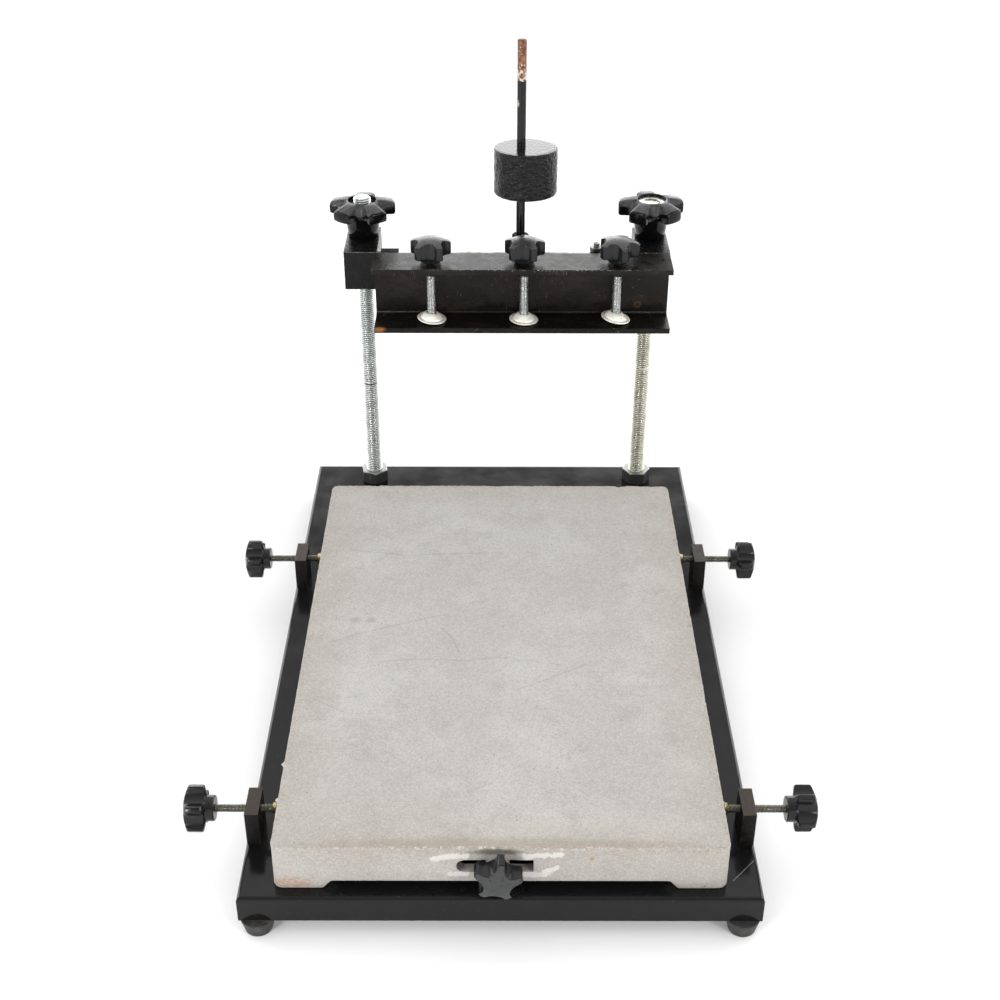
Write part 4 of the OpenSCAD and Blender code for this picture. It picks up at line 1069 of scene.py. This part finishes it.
# Counterweight: a sawn steel bar screwed into the middle lug, painted gloss black but bare and rusty at
# its top, and a rough cast slug on it, bored off its middle and dipped in the same paint.
ROD_LEAN = 3.0
ROD_BARE = 34.0
ROD_CHIP = (13.9, 428.0)
ROD_SIDES = 32
ROD_FIT = 0.05
SLUG_OFFSET = 4.0
SLUG_COLUMNS = 220
SLUG_EDGE = 1.6
ROD_RUST = (0.10, 0.042, 0.022, 1)
ROD_COPPER = (0.27, 0.125, 0.07, 1)
ROD_FLAKE = (0.58, 0.53, 0.46, 1)
SLUG_BLACK = (0.003, 0.003, 0.003, 1)
SLUG_GREY = (0.03, 0.03, 0.03, 1)
ROD_SHINE = 0.30
SLUG_SHINE = (0.20, 0.16)

hinge_at = next(np.array(j["pos_m"]) / MM for j in frame["joints"] if j["name"] == "clamp_hinge")


def on_rod(points):
    """Leans a piece made along +Z to the back and sets its foot on the hinge's axis under the rod."""
    lean = math.radians(ROD_LEAN)
    rod_x = sum(c[0] for c in extent("counterweight_rod")) / 2
    x, y, z = points[..., 0], points[..., 1], points[..., 2]
    return np.stack([rod_x + x, hinge_at[1] + y * math.cos(lean) + z * math.sin(lean),
                     hinge_at[2] + z * math.cos(lean) - y * math.sin(lean)], axis=-1)


def along_rod(node):
    """Lowest and highest place of a node along the rod, from its box less what its width leans up."""
    low, high = extent(node)
    lean = math.radians(ROD_LEAN)
    width = (high[0] - low[0]) / 2 * math.sin(lean)
    return [(low[2] - hinge_at[2] + width) / math.cos(lean), (high[2] - hinge_at[2] - width) / math.cos(lean)]


def rod_bar(start, end, radius):
    """Round bar with slight waves along it and a sawn top with a small round edge."""
    heights = np.concatenate([[start], np.linspace(start + 0.5, end - 0.5, 150), [end]])
    thin = np.full(len(heights), radius)
    thin[[0, -1]] -= 0.5
    points = turned(np.stack([thin, heights], axis=-1), ROD_SIDES)
    waves = 0.05 + 0.05 * ripple(11, points, 18)
    points[..., :2] *= (1 - np.clip(waves, 0, None) / radius)[..., None]
    return points


def slug(bottom, top, radius, bore):
    """Ring about the rod: out over the bottom from the bore to a circle set off along X, up a wall that is
    dented by two sizes of ripple, and in over the top. Returns points and whether each is on the top."""
    angle = np.linspace(0, 2 * np.pi, SLUG_COLUMNS, endpoint=False)
    ring = np.stack([np.cos(angle), np.sin(angle)], axis=-1)
    middle = np.array([SLUG_OFFSET, 0.0])
    rows = []

    def row(share, inset, height):
        flat = bore * ring * (1 - share) + (middle + (radius - inset) * ring) * share
        rows.append(np.column_stack([flat, np.broadcast_to(height, len(flat))]))

    for share in (0.0, 0.25, 0.5, 0.75):
        row(share, SLUG_EDGE, bottom)
    for lean in np.radians([0, 30, 60]):
        row(1, SLUG_EDGE * (1 - math.sin(lean)), bottom + SLUG_EDGE * (1 - math.cos(lean)))
    for height in np.linspace(bottom + SLUG_EDGE, top - SLUG_EDGE, 46):
        row(1, 0, height)
    for lean in np.radians([30, 60, 90]):
        row(1, SLUG_EDGE * (1 - math.cos(lean)), top - SLUG_EDGE * (1 - math.sin(lean)))
    for share in (0.9, 0.75, 0.5, 0.25, 0.0):
        row(share, SLUG_EDGE, top)
    points = np.array(rows)
    dent = 0.30 + 0.16 * ripple(21, points, 7) + 0.14 * ripple(22, points, 3.2)
    away = points[..., :2] - middle
    shrink = np.clip(dent, 0, 0.9) * np.clip((np.linalg.norm(away, axis=-1) - radius + 3) / 1.5, 0, 1)
    points[..., :2] -= away * (shrink / radius)[..., None]
    return points, (np.arange(len(points)) >= len(points) - 6)[:, None] * np.ones(SLUG_COLUMNS)


def rod_paint(bare_above):
    """Gloss black below a ragged line at the given height, rusty bare steel with flakes above it."""
    material, place = new_finish("rod_paint")
    z = height_of(place)
    ragged = sums("ADD", z, times(cloud(place, 5, 5, 0.7), 6 * MM))
    bare = between(ragged, (bare_above + 2.6) * MM, (bare_above + 3.4) * MM)
    chip = near(place, (ROD_CHIP[0], hinge_at[1], ROD_CHIP[1]), (2.0, 14, 5), 0.8)
    bare = sums("MAXIMUM", bare, chip)
    rust = tint(between(cloud(place, 3, 6, 0.7), 0.40, 0.64), ROD_RUST, ROD_COPPER)
    low_down = between(z, (bare_above + 4) * MM, (bare_above + 18) * MM, 0.12, 0.0)
    flakes = sums("ADD", cloud(place, 2.2, 5, 0.7), low_down)
    rust = tint(between(flakes, 0.59, 0.66), rust, ROD_FLAKE)
    return coat(material, tint(bare, SLUG_BLACK, rust), between(bare, 0.0, 1.0, 0.10, 0.55),
                cloud(place, 2.0, 4), 0.15, shine=ROD_SHINE, metal=between(bare, 0.0, 1.0, 0.0, 0.3))


def slug_paint():
    """Thick gloss black over a rough casting, smoother on the top."""
    material, place = new_finish("slug_paint")
    marks = marked(material)
    dust = between(cloud(place, 6, 6, 0.7), 0.55, 0.80, 0.0, 0.25)
    hammered = times(cloud(place, 2.4, 3, 0.5), between(marks, 0, 1, 1.0, 0.2))
    return coat(material, tint(dust, SLUG_BLACK, SLUG_GREY),
                between(cloud(place, 5, 5), 0.3, 0.7, 0.06, 0.14), hammered, 1.3,
                shine=between(marks, 0.0, 1.0, *SLUG_SHINE))


low, high = extent("counterweight_rod")
rod_r = (high[0] - low[0]) / 2
start, end = along_rod("counterweight_rod")
stand_in("counterweight_rod", "bar", on_rod(rod_bar(start, end, rod_r)), rod_paint(high[2] - ROD_BARE), 50)
dress(block_paint("rod_nut", **MATT), "rod_nut")
low, high = extent("counterweight")
bottom, top = along_rod("counterweight")
shape, marks = slug(bottom, top, (high[0] - low[0]) / 2, rod_r + ROD_FIT)
stand_in("counterweight", "slug", on_rod(shape), slug_paint(), 60, marks, ring=True)

bpy.context.view_layer.update()
